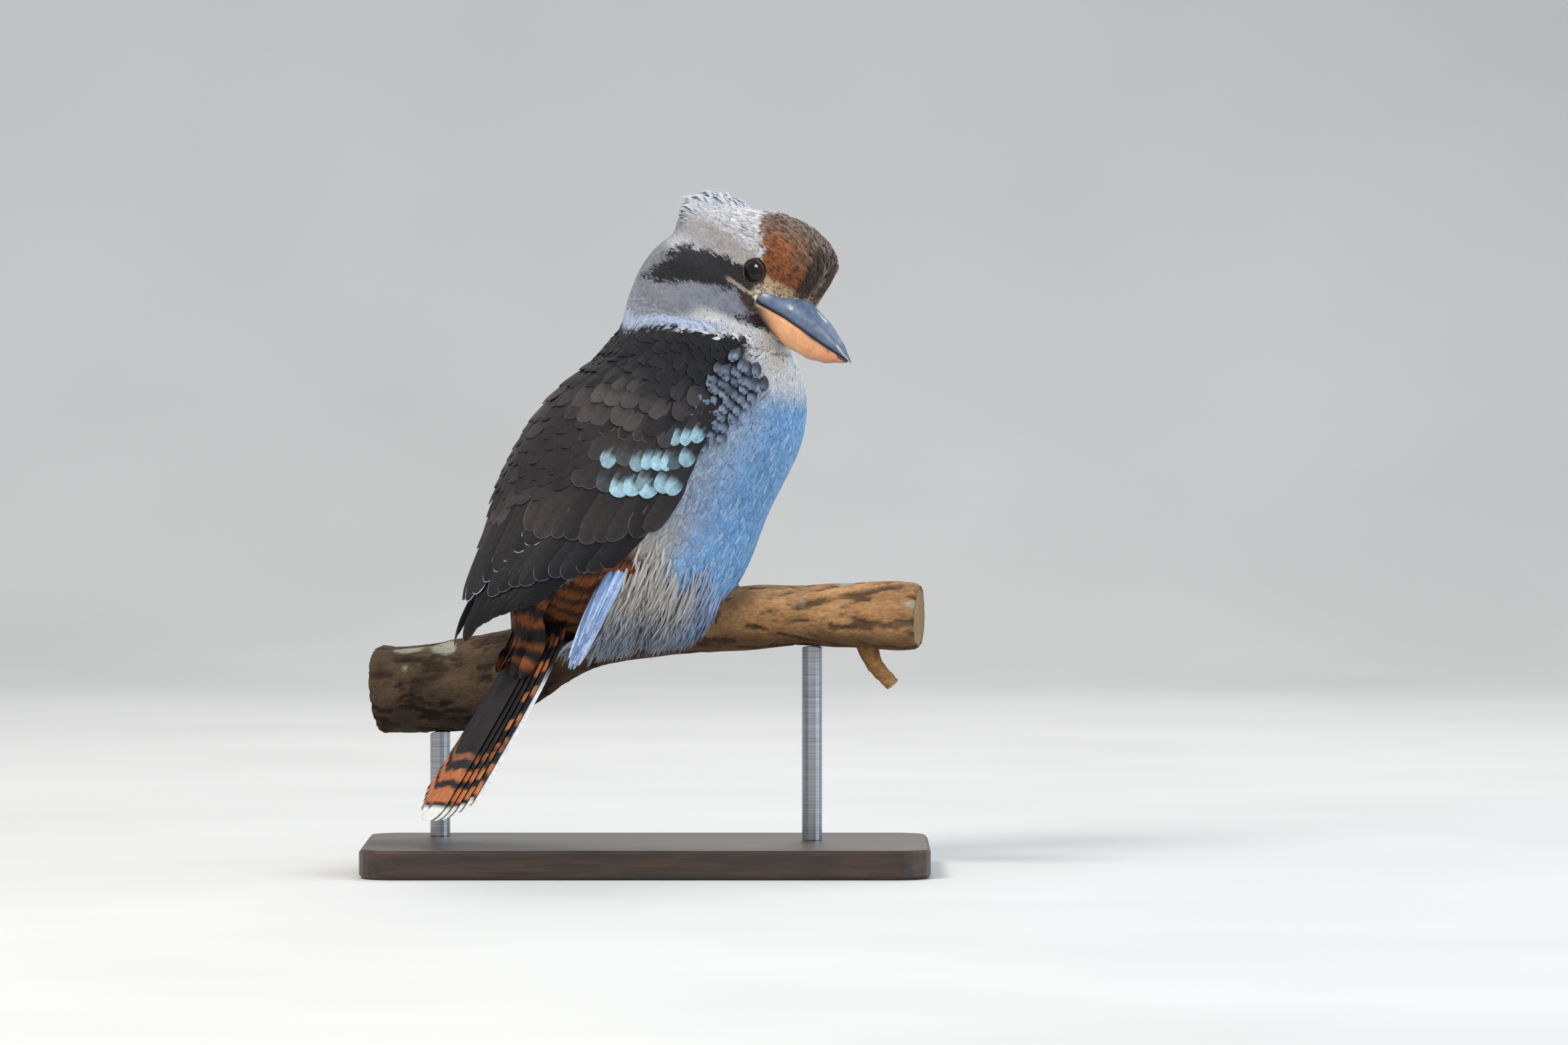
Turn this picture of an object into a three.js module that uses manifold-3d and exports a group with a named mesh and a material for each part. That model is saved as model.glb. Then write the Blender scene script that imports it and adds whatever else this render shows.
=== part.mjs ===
// A laughing kookaburra at life size, perched on a cut length of branch that a plain stand holds.
// Millimetres, +Z up. The origin is the centre of the underside of the stand's base.
// The bird is built in its own frame: x forward, y to its left, z up, with the origin between its
// feet on top of the branch. Its head has a frame of its own: origin midway between the eyes,
// x along the bill.
import * as THREE from 'three';
import { mergeVertices } from 'three/addons/utils/BufferGeometryUtils.js';
import Module from 'manifold-3d';

const wasm = await Module();
wasm.setup();

// Driving dimensions, in millimetres and degrees.
const GAP = 0.3; // clearance that touching pieces keep
const BIRD = { at: [21.5, 25, 137], heading: 30 };
const HEAD = { at: [41, -21, 155.8], yaw: -84, pitch: -25, roll: 13 };
const BASE = { length: 280, depth: 160, height: 14, corner: 16, bevel: 1.5 };
const ROD = { radius: 5, left: -104, right: 82, reach: 108 }; // cut off where they meet the branch
const EYE = { radius: 9.2, side: 14.2, lid: 6.5, lidThickness: 1.2, lidReach: 7, forward: 12 };
const BILL = {
  root: 9.5, tip: 73, mouth: -12.3, halfWidth: 12.5, tipHalfWidth: 0.7, pinch: 0.18, lowerShorter: 3,
  flare: { wide: 5.8, from: 10.5, to: 27 }, // extra half width at the gape, and where it ends
  nostril: { at: [31, 7.2, -5.4], radii: [3.4, 1.5, 1.1], yaw: -12, pitch: -14 },
  gape: { at: [-3, 20.5], size: [36, 6, 0.9], forward: 12, yaw: -21 },
};
const TAIL = {
  at: [-65.5, 0, 18.6], pitch: 57.6, length: 153, root: 34, pairs: 6, step: 1.5, width: 14.5,
  fan: { root: [2.5, 2.8], tip: [3.5, 3.7] }, // out from the midline: the middle pair, each next pair
  rounding: 0.5, slope: 0.15,
  taper: { at: [14, 0, -2], radii: [52, 18, 13] },
  coverts: {
    start: 22, stagger: 8, short: 32, long: 44, wide: [17, 14], width: 10, round: 0.02,
    above: [10, 2.2], below: [13, 12.5], // heights at root and tip
  },
};
const VANE = { thickness: 0.5, tilt: 0.62 };
const SHINGLE = { core: [0.9, 3.1], root: 1.9, tip: 7 }; // heights of a wing's core and feathers
const BLEND = 16; // how widely neighbouring body forms melt together

// The masses under the coat. Each is an ellipsoid: centre, radii and the lift of its long axis.
const FORMS = [
  { name: 'trunk', frame: 'bird', at: [-35, 0, 54], radii: [81.5, 46, 52.5], pitch: 58 },
  { name: 'breast', frame: 'bird', at: [13.5, 0, 81], radii: [55.5, 44, 42.5], pitch: 58 },
  { name: 'belly', frame: 'bird', at: [-0.5, 0, 35.5], radii: [50.5, 36.5, 33.5], pitch: 70 },
  { name: 'rump', frame: 'bird', at: [-58, 0, 22], radii: [36, 23.5, 20], pitch: 58 },
  { name: 'neck', frame: 'bird', at: [2.5, 0.5, 115.5], radii: [44.5, 35, 38.5], pitch: 55 },
  { name: 'nape', frame: 'bird', at: [8.5, 15.5, 147], radii: [35, 26, 28.5], pitch: 60 },
  { name: 'cranium', frame: 'head', at: [-10.5, 0, 6], radii: [38.5, 21, 20], pitch: 14 },
  { name: 'lores', frame: 'head', at: [4.5, 0, -10.5], radii: [19.5, 13.5, 13], pitch: 0 },
  { name: 'cheeks', frame: 'head', at: [-17, 0, -16], radii: [29.5, 18.5, 15.5], pitch: 10 },
  { name: 'occiput', frame: 'head', at: [-40, 0, -20], radii: [30, 25, 24], pitch: 30 },
  { name: 'crest', frame: 'head', at: [-52, 0, 0], radii: [29, 22, 12], pitch: 14 },
];
// The folded wings lie on the body and, past it, on this tapering mass of air and feathers.
const WING_TAPER = { frame: 'bird', at: [-81.5, 0, 25.5], radii: [84, 33, 27], pitch: 60.5 };
// A wing place is a share of the way along this line and an angle down from the back's midline.
const WING_LINE = { from: [2, 0, 122], to: [-130, 0, -40] };

// Where the body's masses are marched out from: a middle, and how drawn out along an axis.
const TRUNK = { middle: [-30, 0, 58], axis: [0.53, 0, 0.848], stretch: 1.7 };
const NECK_MIDDLE = [14, 4, 124];
const SKULL = { middle: [-18, 0, -6], stretch: 1.3 };

// The planes that part the one coat surface: a point on each, and the way towards the bill end.
const PARTING = {
  neck: { at: [0, 0, 106], normal: [0.1, 0, 0.995] },
  head: { at: [30, 10, 135], normal: [0.23, -0.32, 0.92] },
  tail: { at: [-64, 0, 6], normal: [0.53, 0, 0.848] },
};

// The bill's ridge and its lower keel: heights at shares of the way from the root to the tip.
const CULMEN = [[0, 1], [0.2, -0.6], [0.55, -2.8], [0.8, -6.6], [0.94, -10.3], [1, -12]];
const JAW = [[0, -24.5], [0.3, -26], [0.55, -24.6], [0.75, -21], [0.92, -15.9], [1, -13.2]];

// The crest's rows of long feathers, from front to rear along the head. Roots and tips have a
// height, a level above the surface, and how far the outermost feather's lies ahead and below.
const CREST = {
  rows: [
    { from: -32, to: -64, count: 3, spread: 9, width: 8.4 },
    { from: -50, to: -79, count: 4, spread: 14, width: 8.8 },
  ],
  root: { height: 18, level: -1.6, ahead: -3, below: 7 },
  tip: { height: 6, level: 3, ahead: 7, below: 6, narrowing: 0.85 },
};

// The wing's core: shares of its line, and its angles at the top and the bottom of each end.
const WING_CORE = { rows: 8, columns: 6, span: [0.04, 0.6], top: [12, 16], bottom: [101, 104], lift: 14 };

// Tiers of the folded wing. Each runs from its lowest feather to the one nearest the back. Roots
// and tips are places on the wing, rise lifts a tier's tips, and lift is how much more the last
// tip rises than the first.
const TIERS = [
  {
    name: 'primaries', count: 5, width: 9, lift: 1.2, rise: 0, long: true,
    root: [[0.5, 94], [0.53, 54]], tip: [[0.84, 72], [0.97, 27]],
  },
  {
    name: 'secondaries', count: 6, width: 9.2, lift: 1.4, rise: 0.3, long: true,
    root: [[0.4, 101], [0.42, 50]], tip: [[0.65, 97], [0.84, 49]],
  },
  {
    name: 'tertials', count: 3, width: 9.2, lift: 0.5, rise: 1.9, long: true,
    root: [[0.42, 37], [0.44, 13]], tip: [[0.84, 37], [0.92, 16]],
  },
  {
    name: 'greater coverts', count: 5, width: 12, lift: 0.6, rise: 0, long: false,
    root: [[0.3, 102], [0.32, 57]], tip: [[0.5, 101], [0.58, 58]],
  },
  {
    name: 'median coverts', count: 5, width: 12.4, lift: 0.6, rise: 0, long: false,
    root: [[0.2, 100], [0.21, 54]], tip: [[0.37, 101], [0.41, 54]],
  },
  {
    name: 'lesser coverts', count: 4, width: 13.4, lift: 0.6, rise: 0, long: false,
    root: [[0.12, 98], [0.12, 56]], tip: [[0.27, 99], [0.29, 59]],
  },
  {
    name: 'upper coverts', count: 4, width: 12.8, lift: 0.6, rise: 0, long: false,
    root: [[0.05, 96], [0.05, 56]], tip: [[0.18, 96], [0.19, 56]],
  },
  {
    name: 'scapulars', count: 3, width: 11.6, lift: 0.5, rise: 0.6, long: true,
    root: [[0.26, 40], [0.27, 13]], tip: [[0.54, 39], [0.6, 14]],
  },
  {
    name: 'upper scapulars', count: 3, width: 12.4, lift: 0.5, rise: 0.6, long: true,
    root: [[0.07, 42], [0.08, 13]], tip: [[0.35, 41], [0.38, 13]],
  },
];

// The thigh's mass in the flank, and the locks of long soft feathers that hang from a ring on it.
const THIGH = { at: [-22, 20.5, 19], radii: [30, 17, 25], pitch: 52 };
const LOCKS = {
  count: 8, width: 11, turns: [-80, 65], ring: [17, 9], shift: [0, -3, -1],
  bend: { out: 5, fall: [-3, 0, -14] }, tip: { out: 3, fall: [-8, 0, -29], ragged: 3 },
};

// Toes round the branch: shift and fan set them side by side, end is where the toe meets its claw,
// and press is how high a toe's middle lies over the bark at root and end, in its radii.
const GRIP = { radius: 15.6, drop: 15.4, apart: 17, press: [1.1, 0.92], clearance: GAP + 0.3 };
const SHANK = { lift: 5, bends: [[-3, 1.5, 9], [-7, 3, 18]], radii: [4, 3.3, 4] };
const FOOT_ROOM = { angles: [-96, -48, 0, 48, 96, 125], lift: 3, radius: 10.5 };
const CLAW = { turn: 30, arch: 1.6, radii: [1.6, 1.35, 0.9, 0.35] };
const TOES = [
  { name: 'inner', shift: -4.6, fan: -1.5, end: 72, radius: 2.3 },
  { name: 'middle', shift: 0, fan: 0, end: 92, radius: 2.5 },
  { name: 'outer', shift: 4.6, fan: 1.5, end: 82, radius: 2.3 },
  { name: 'hind', shift: 0, fan: 0, end: -66, radius: 2.5 },
];

// The branch: x, height and radius along it, its turn away from the x axis, how knotty it is, and
// the share of its length round which it is calm.
const PERCH = {
  line: [
    [-135, 87.7, 22.3], [-112, 88.3, 23], [-89, 90, 23.2], [-69, 96, 20.6], [-46, 106.5, 16.6],
    [-20, 115.5, 15.4], [4, 119.6, 15.3], [21.5, 121.6, 15.3], [53, 125, 16.2],
    [76, 126, 16], [116, 125.6, 17.3], [135, 125, 16.6],
  ],
  yaw: -12, knots: [0.05, 0.04], calm: { at: 0.58, width: 0.12 }, grip: [6, 8], clearance: GAP + 0.15,
};
const TWIG = { root: [108, 114], bends: [[5, -3, -12], [14, -6, -22]], radii: [5.5, 4.2, 3.4] };

const COLOURS = {
  cream: [0xd9d2c4, 0.85], brown: [0x4a3d33, 0.8], head: [0xcfc6b8, 0.85], rufous: [0x6b4630, 0.8],
  horn: [0x3a3d45, 0.45], bone: [0xc79a6b, 0.45], eye: [0x1c1210, 0.15], scale: [0x6d675c, 0.6],
  claw: [0x2b2826, 0.4], bark: [0x8a6a3c, 0.9], base: [0x3c3a38, 0.5], rod: [0x8d9095, 0.35],
};

const DEG = Math.PI / 180;
const v3 = (x, y, z) => new THREE.Vector3(x, y, z);
const vec = (list) => new THREE.Vector3(...list);
const lerp = THREE.MathUtils.lerp;
const smooth = (x, lo = 0, hi = 1) => THREE.MathUtils.smoothstep(x, lo, hi);

// A frame whose x axis is turned by yaw and lifted by pitch, with its left side dropped by roll.
function frameMatrix(at, yaw, pitch, roll) {
  const turn = new THREE.Euler(-roll * DEG, -pitch * DEG, yaw * DEG, 'ZYX');
  return new THREE.Matrix4().makeRotationFromEuler(turn).setPosition(...at);
}

const headFrame = frameMatrix(HEAD.at, HEAD.yaw, HEAD.pitch, HEAD.roll);
const birdFrame = frameMatrix(BIRD.at, BIRD.heading, 0, 0);
const partToBird = birdFrame.clone().invert();
const onHead = (x, y, z) => v3(x, y, z).applyMatrix4(headFrame);
const headWay = (x, y, z) => v3(x, y, z).transformDirection(headFrame);

// Solids: a closed mesh becomes a manifold to be joined or cut, and comes back as a geometry.
function solid(geometry) {
  const plain = geometry.clone();
  plain.deleteAttribute('normal');
  plain.deleteAttribute('uv');
  const merged = mergeVertices(plain, 1e-5);
  const vertProperties = new Float32Array(merged.attributes.position.array);
  const make = (triVerts) => new wasm.Manifold(new wasm.Mesh({ numProp: 3, vertProperties, triVerts }));
  const index = new Uint32Array(merged.index.array);
  const shape = make(index);
  return shape.volume() > 0 ? shape : make(index.reverse()); // a mirrored shape comes out inside out
}

// The piece's largest closed surface, which drops loose scraps and fills sealed hollows.
function largest(manifold) {
  return manifold.decompose().reduce((a, b) => (b.volume() > a.volume() ? b : a));
}

function toGeometry(manifold) {
  const mesh = manifold.getMesh();
  const geometry = new THREE.BufferGeometry();
  geometry.setAttribute('position', new THREE.Float32BufferAttribute(mesh.vertProperties, 3));
  geometry.setIndex([...mesh.triVerts]);
  return geometry;
}

const join = (first, ...others) => others.flat().reduce((a, b) => a.add(b), first);
const cut = (first, ...others) => others.flat().reduce((a, b) => a.subtract(b), first);

// A geometry from rings of points. crossed(j) turns the diagonal of the strips of column j.
function loft(rings, crossed = () => false) {
  const sides = rings[0].length;
  const positions = rings.flat().flatMap((p) => [p.x, p.y, p.z]);
  const index = [];
  for (let i = 0; i < rings.length - 1; i++) {
    for (let j = 0; j < sides; j++) {
      const a = i * sides + j;
      const b = i * sides + (j + 1) % sides;
      const [c, d] = [b + sides, a + sides];
      index.push(...(crossed(j) ? [a, b, d, b, c, d] : [a, b, c, a, c, d]));
    }
  }
  const last = (rings.length - 1) * sides;
  for (let j = 1; j < sides - 1; j++) {
    index.push(0, j + 1, j);
    index.push(last, last + j, last + j + 1);
  }
  const geometry = new THREE.BufferGeometry();
  geometry.setAttribute('position', new THREE.Float32BufferAttribute(positions, 3));
  geometry.setIndex(index);
  return geometry;
}

// A round limb along a smooth line of points, with a radius at each and flat or rounded ends.
function limb(points, radii, { sides = 10, steps = 10, roundStart = false, roundEnd = false, ripple } = {}) {
  const curve = new THREE.CatmullRomCurve3(points);
  const radiusCurve = new THREE.CatmullRomCurve3(radii.map((r, i) => v3(i, r, 0)));
  const stations = [];
  for (let i = 0; i <= steps; i++) stations.push({ t: i / steps, shift: 0, share: 1 });
  const dome = [[0.5, 0.866], [0.866, 0.5], [0.985, 0.17]];
  if (roundStart) {
    stations.unshift(...dome.map(([shift, share]) => ({ t: 0, shift: -shift, share })).reverse());
  }
  if (roundEnd) stations.push(...dome.map(([shift, share]) => ({ t: 1, shift, share })));
  let across = null;
  const rings = stations.map(({ t, shift, share }) => {
    const along = curve.getTangent(t);
    if (!across) across = Math.abs(along.z) > 0.9 ? v3(1, 0, 0) : v3(0, 0, 1);
    across.addScaledVector(along, -across.dot(along)).normalize();
    const other = along.clone().cross(across);
    const radius = radiusCurve.getPoint(t).y;
    const centre = curve.getPoint(t).addScaledVector(along, shift * radius);
    return Array.from({ length: sides }, (_, j) => {
      const angle = j / sides * 2 * Math.PI;
      const reach = radius * share * (ripple ? ripple(t, angle) : 1);
      return centre.clone().addScaledVector(across, reach * Math.cos(angle))
        .addScaledVector(other, reach * Math.sin(angle));
    });
  });
  return solid(loft(rings));
}

// A big block that fills the side of a plane which its normal points to.
function halfSpace(point, normal, shift = 0) {
  const size = 600;
  const box = new THREE.BoxGeometry(size, size, size).translate(0, 0, size / 2 + shift);
  box.applyQuaternion(new THREE.Quaternion().setFromUnitVectors(v3(0, 0, 1), normal.clone().normalize()));
  return solid(box.translate(point.x, point.y, point.z));
}

function ellipsoid(matrix, radii, detail) {
  const ball = new THREE.IcosahedronGeometry(1, detail).scale(...radii);
  return solid(ball.applyMatrix4(matrix));
}

// The coat's outer surface as a distance field of blended ellipsoids.
function prepare(forms) {
  return forms.map(({ frame, at, radii, pitch }) => {
    const matrix = frameMatrix(at, 0, pitch, 0);
    if (frame === 'head') matrix.premultiply(headFrame);
    return { inverse: matrix.invert(), radii };
  });
}

function field(p, forms) {
  let nearest = null;
  for (const { inverse, radii: [rx, ry, rz] } of forms) {
    const q = p.clone().applyMatrix4(inverse);
    const near = Math.hypot(q.x / rx, q.y / ry, q.z / rz);
    const slope = Math.hypot(q.x / rx ** 2, q.y / ry ** 2, q.z / rz ** 2) + 1e-9;
    const reach = near * (near - 1) / slope;
    if (nearest === null) {
      nearest = reach;
    } else {
      const mix = Math.max(BLEND - Math.abs(nearest - reach), 0) / BLEND;
      nearest = Math.min(nearest, reach) - mix * mix * BLEND / 4;
    }
  }
  return nearest;
}

function uphill(p, forms) {
  const step = 0.05;
  const slope = ['x', 'y', 'z'].map((axis) => {
    const ahead = p.clone();
    const behind = p.clone();
    ahead[axis] += step;
    behind[axis] -= step;
    return (field(ahead, forms) - field(behind, forms)) / (2 * step);
  });
  return vec(slope);
}

// From a point inside, out along a direction to the surface at a given level above the coat.
function march(origin, way, forms, level) {
  const p = origin.clone();
  for (let i = 0; i < 60; i++) {
    const short = level - field(p, forms);
    if (Math.abs(short) < 1e-3) break;
    p.addScaledVector(way, THREE.MathUtils.clamp(short, -8, 8) * 0.9);
  }
  return p;
}

// The nearest place straight above or below a point at a given level.
function settle(point, forms, level) {
  const p = point.clone();
  for (let i = 0; i < 4; i++) {
    const slope = uphill(p, forms);
    p.addScaledVector(slope, (level - field(p, forms)) / slope.lengthSq());
  }
  return p;
}

const BODY = prepare(FORMS);
const GUIDE = prepare([...FORMS.filter((form) => form.frame === 'bird'), WING_TAPER]);

// A closed surface round a centre: every direction is marched out to the coat.
function bulk(centre, axis, stretch, detail, level = 0) {
  const ball = new THREE.IcosahedronGeometry(1, detail);
  ball.deleteAttribute('normal');
  ball.deleteAttribute('uv');
  const merged = mergeVertices(ball, 1e-4);
  const place = merged.attributes.position;
  for (let i = 0; i < place.count; i++) {
    const way = new THREE.Vector3().fromBufferAttribute(place, i);
    way.addScaledVector(axis, way.dot(axis) * (stretch - 1)).normalize();
    const p = march(centre, way, BODY, level);
    place.setXYZ(i, p.x, p.y, p.z);
  }
  return solid(merged);
}

// A feather's vane. place(t, across, lift) gives the point at share t of its length, so many
// millimetres off its midline and above its lie. Both faces are split into triangles alike.
function vane(place, { width, thickness = VANE.thickness, tilt = 0, root = 0.6, tip = 0.35, long = false }) {
  const shares = long ? [0, 0.22, 0.45, 0.68, 0.87, 1] : [0, 0.32, 0.62, 0.86, 1];
  const corners = [[-1, -1], [1, -1], [1, 1], [-1, 1]]; // side and face of each
  const rings = shares.map((t) => {
    const taper = lerp(root, 1, smooth(t, 0, 0.4)) * lerp(1, tip, smooth(t, 0.6, 1) ** 1.6);
    const half = width / 2 * taper;
    return corners.map(([side, face]) => place(t, side * half, tilt * side + face * thickness / 2));
  });
  return solid(loft(rings, (j) => j >= 2));
}

// The branch and the stand that holds it.
function perchPoint(x, z) {
  return v3(x, BIRD.at[1] + (x - BIRD.at[0]) * Math.tan(PERCH.yaw * DEG), z);
}

// The branch is knotty, but calm where the feet grip it.
function perchLimb(grow) {
  const [broad, narrow] = PERCH.knots;
  const knots = (t, angle) => broad * Math.sin(3 * angle + 9 * t) + narrow * Math.sin(17 * t + 2 * angle);
  const calm = (t) => 1 - Math.exp(-(((t - PERCH.calm.at) / PERCH.calm.width) ** 2));
  const ripple = (t, angle) => 1 + knots(t, angle) * calm(t);
  return limb(PERCH.line.map(([x, z]) => perchPoint(x, z)), PERCH.line.map(([, , r]) => r + grow), {
    sides: 12, steps: 20, ripple,
  });
}

function perch() {
  const root = perchPoint(...TWIG.root);
  const line = [root, ...TWIG.bends.map((bend) => root.clone().add(vec(bend)))];
  const twig = limb(line, TWIG.radii, { sides: 8, steps: 4 });
  return largest(join(perchLimb(0), twig));
}

function standBase() {
  const { length, depth, height, corner, bevel } = BASE;
  const [hx, hy] = [length / 2 - bevel, depth / 2 - bevel];
  const outline = new THREE.Shape();
  outline.moveTo(-hx + corner, -hy);
  outline.lineTo(hx - corner, -hy);
  outline.absarc(hx - corner, -hy + corner, corner, -Math.PI / 2, 0);
  outline.lineTo(hx, hy - corner);
  outline.absarc(hx - corner, hy - corner, corner, 0, Math.PI / 2);
  outline.lineTo(-hx + corner, hy);
  outline.absarc(-hx + corner, hy - corner, corner, Math.PI / 2, Math.PI);
  outline.lineTo(-hx, -hy + corner);
  outline.absarc(-hx + corner, -hy + corner, corner, Math.PI, 1.5 * Math.PI);
  const slab = new THREE.ExtrudeGeometry(outline, {
    depth: height - 2 * bevel, bevelThickness: bevel, bevelSize: bevel, bevelSegments: 1, curveSegments: 3,
  });
  return solid(slab.translate(0, 0, bevel));
}

function standRod(x, perchSolid) {
  const centre = perchPoint(x, 0);
  const bar = new THREE.CylinderGeometry(ROD.radius, ROD.radius, ROD.reach, 16).rotateX(Math.PI / 2);
  bar.translate(centre.x, centre.y, BASE.height + GAP + ROD.reach / 2);
  return largest(cut(solid(bar), perchSolid));
}

// The body is one coat surface, parted by planes into torso, neck, head and the tail's root.
const above = ({ at, normal }) => halfSpace(vec(at), vec(normal), GAP / 2);
const below = ({ at, normal }) => halfSpace(vec(at), vec(normal).negate(), GAP / 2);

const trunkAt = (level) => bulk(vec(TRUNK.middle), vec(TRUNK.axis), TRUNK.stretch, 7, level);
const trunkBulk = trunkAt(0);
const neckBulk = bulk(vec(NECK_MIDDLE), vec(TRUNK.axis), 1, 5);
const headBulk = bulk(onHead(...SKULL.middle), headWay(1, 0, 0), SKULL.stretch, 7);

// A table's value at a share of the way along it, between a straight and an eased step.
function along(table, t) {
  const i = Math.min(table.findIndex(([at]) => t <= at) || 1, table.length - 1);
  const [[t0, a], [t1, b]] = [table[i - 1], table[i]];
  return lerp(a, b, smooth((t - t0) / (t1 - t0)) * 0.4 + (t - t0) / (t1 - t0) * 0.6);
}

function billHalf(edge, up, length, grow) {
  const rings = [];
  const count = 12;
  for (let i = 0; i <= count; i++) {
    const t = i / count;
    const x = lerp(BILL.root - grow, length + grow, t);
    const taper = (1 - t ** 1.5) * (1 - BILL.pinch * Math.sin(Math.PI * t));
    const flare = BILL.flare.wide * (1 - smooth(x, BILL.flare.from, BILL.flare.to));
    const wide = BILL.halfWidth * taper + BILL.tipHalfWidth + flare + grow;
    const rim = BILL.mouth + up * (GAP / 2 - grow);
    const peak = along(edge, t) + up * grow;
    const ring = Array.from({ length: 10 }, (_, j) => {
      const angle = j / 9 * Math.PI;
      const y = wide * Math.cos(angle) * up;
      return onHead(x, y, lerp(rim, peak, Math.sin(angle) ** 0.8));
    });
    rings.push(ring);
  }
  return solid(loft(rings.reverse()));
}

const billUpper = (grow) => billHalf(CULMEN, 1, BILL.tip, grow);
const billLower = (grow) => billHalf(JAW, -1, BILL.tip - BILL.lowerShorter, grow);

function nostril(side) {
  const { at: [x, y, z], radii, yaw, pitch } = BILL.nostril;
  return ellipsoid(frameMatrix([x, side * y, z], side * yaw, pitch, 0).premultiply(headFrame), radii, 0);
}

// Eyes: the front of a ball, set in its socket and ringed by the lids.
function eyeMatrix(side) {
  return frameMatrix([0, side * EYE.side, 0], side * (90 - EYE.forward), 0, 0).premultiply(headFrame);
}

function eyeBall(side, grow, detail) {
  const matrix = eyeMatrix(side);
  const outward = v3(1, 0, 0).transformDirection(matrix);
  const centre = v3(0, 0, 0).applyMatrix4(matrix).addScaledVector(outward, -grow);
  return ellipsoid(matrix, Array(3).fill(EYE.radius + grow), detail).intersect(halfSpace(centre, outward));
}

function lids(side) {
  const ring = new THREE.TorusGeometry(EYE.lid, EYE.lidThickness, 5, 14).rotateY(Math.PI / 2);
  ring.scale(1, 1.08, 0.96).translate(EYE.lidReach, 0, 0);
  return solid(ring.applyMatrix4(eyeMatrix(side)));
}

// The line of the mouth runs on from the bill's edge to the gape below the eye.
function mouthLine(side) {
  const { at: [x, y], size, forward, yaw } = BILL.gape;
  const blade = new THREE.BoxGeometry(...size).translate(forward, 0, 0);
  const lie = frameMatrix([x, side * y, BILL.mouth], side * yaw, 0, 0).premultiply(headFrame);
  return solid(blade.applyMatrix4(lie));
}

function crestVanes() {
  const vanes = [];
  const end = (x, y, { height, ahead, below }, u) => onHead(x + ahead * u * u, y, height - below * u * u);
  for (const { from, to, count, spread, width } of CREST.rows) {
    for (let i = 0; i < count; i++) {
      const u = 2 * i / (count - 1) - 1;
      const root = end(from, u * spread, CREST.root, u);
      const tip = end(to, u * spread * CREST.tip.narrowing, CREST.tip, u);
      const place = (t, side, up) => {
        const middle = root.clone().lerp(tip, t).addScaledVector(headWay(0, 1, 0), side);
        return settle(middle, BODY, lerp(CREST.root.level, CREST.tip.level, t) + up);
      };
      vanes.push(vane(place, { width, thickness: 0.8 }));
    }
  }
  return vanes;
}

function head() {
  const shell = headBulk.intersect(above(PARTING.head));
  const dressed = join(shell, lids(1), lids(-1), crestVanes());
  const sockets = [1, -1].map((side) => eyeBall(side, GAP + 0.2, 2));
  const openings = [billUpper(GAP), billLower(GAP), mouthLine(1), mouthLine(-1), ...sockets];
  return largest(cut(dressed, openings));
}

// Wings: places on the folded wing, and the vanes that lie there in tiers.
const wingFrom = vec(WING_LINE.from);
const wingAxis = vec(WING_LINE.to).sub(wingFrom);
const wingBack = v3(wingAxis.z, 0, -wingAxis.x).normalize();

function wingPoint(side, s, phi, level) {
  const origin = wingFrom.clone().addScaledVector(wingAxis, s);
  const way = wingBack.clone().multiplyScalar(Math.cos(phi * DEG)).add(v3(0, side * Math.sin(phi * DEG), 0));
  return march(origin, way, GUIDE, level);
}

function wingVane(side, { from, to, rise }, options) {
  const middle = (t) => wingPoint(side, lerp(from[0], to[0], t), lerp(from[1], to[1], t), 2);
  const place = (t, offset, lift) => {
    const centre = middle(t);
    const ahead = middle(t + 0.02).sub(middle(t - 0.02));
    const across = ahead.cross(uphill(centre, GUIDE)).normalize().multiplyScalar(side);
    const level = lerp(SHINGLE.root, SHINGLE.tip + rise, t);
    return settle(centre.addScaledVector(across, offset), GUIDE, level + lift);
  };
  return vane(place, { tilt: -VANE.tilt, ...options });
}

// The sheet that a wing's feathers are joined to.
function wingCore(side) {
  const { rows, columns, span, top: high, bottom: low, lift } = WING_CORE;
  const edge = (s) => [lerp(...high, smooth(s, 0.3, 0.6)), lerp(...low, s) - lift * smooth(s, 0.5, 0.62)];
  const sheet = (level) => Array.from({ length: rows }, (_, i) => Array.from({ length: columns }, (__, j) => {
    const s = lerp(...span, i / (rows - 1));
    const [top, bottom] = edge(s);
    const share = j / (columns - 1);
    return wingPoint(side, s, lerp(top, bottom, share), level);
  }));
  const [inner, outer] = SHINGLE.core.map(sheet);
  const rings = inner.map((row, i) => [...row, ...outer[i].reverse()]);
  return solid(loft(rings, (j) => j >= columns));
}

function wing(side) {
  const vanes = [];
  for (const { count, root, tip, width, lift, rise, long } of TIERS) {
    for (let i = 0; i < count; i++) {
      const share = i / (count - 1);
      const from = [lerp(root[0][0], root[1][0], share), lerp(root[0][1], root[1][1], share)];
      const to = [lerp(tip[0][0], tip[1][0], share), lerp(tip[0][1], tip[1][1], share)];
      vanes.push(wingVane(side, { from, to, rise: rise + lift * share }, { width, long }));
    }
  }
  const own = halfSpace(v3(0, 0.25 * side, 0), v3(0, side, 0));
  return largest(join(wingCore(side), vanes).intersect(own));
}

// Tail: rectrices fanned from the root, the middle pair on top, with coverts above and below.
const tailFrame = frameMatrix(TAIL.at, 180, -TAIL.pitch, 0);
const onTail = (reach, y, lift) => v3(reach, -y, lift).applyMatrix4(tailFrame);

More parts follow.
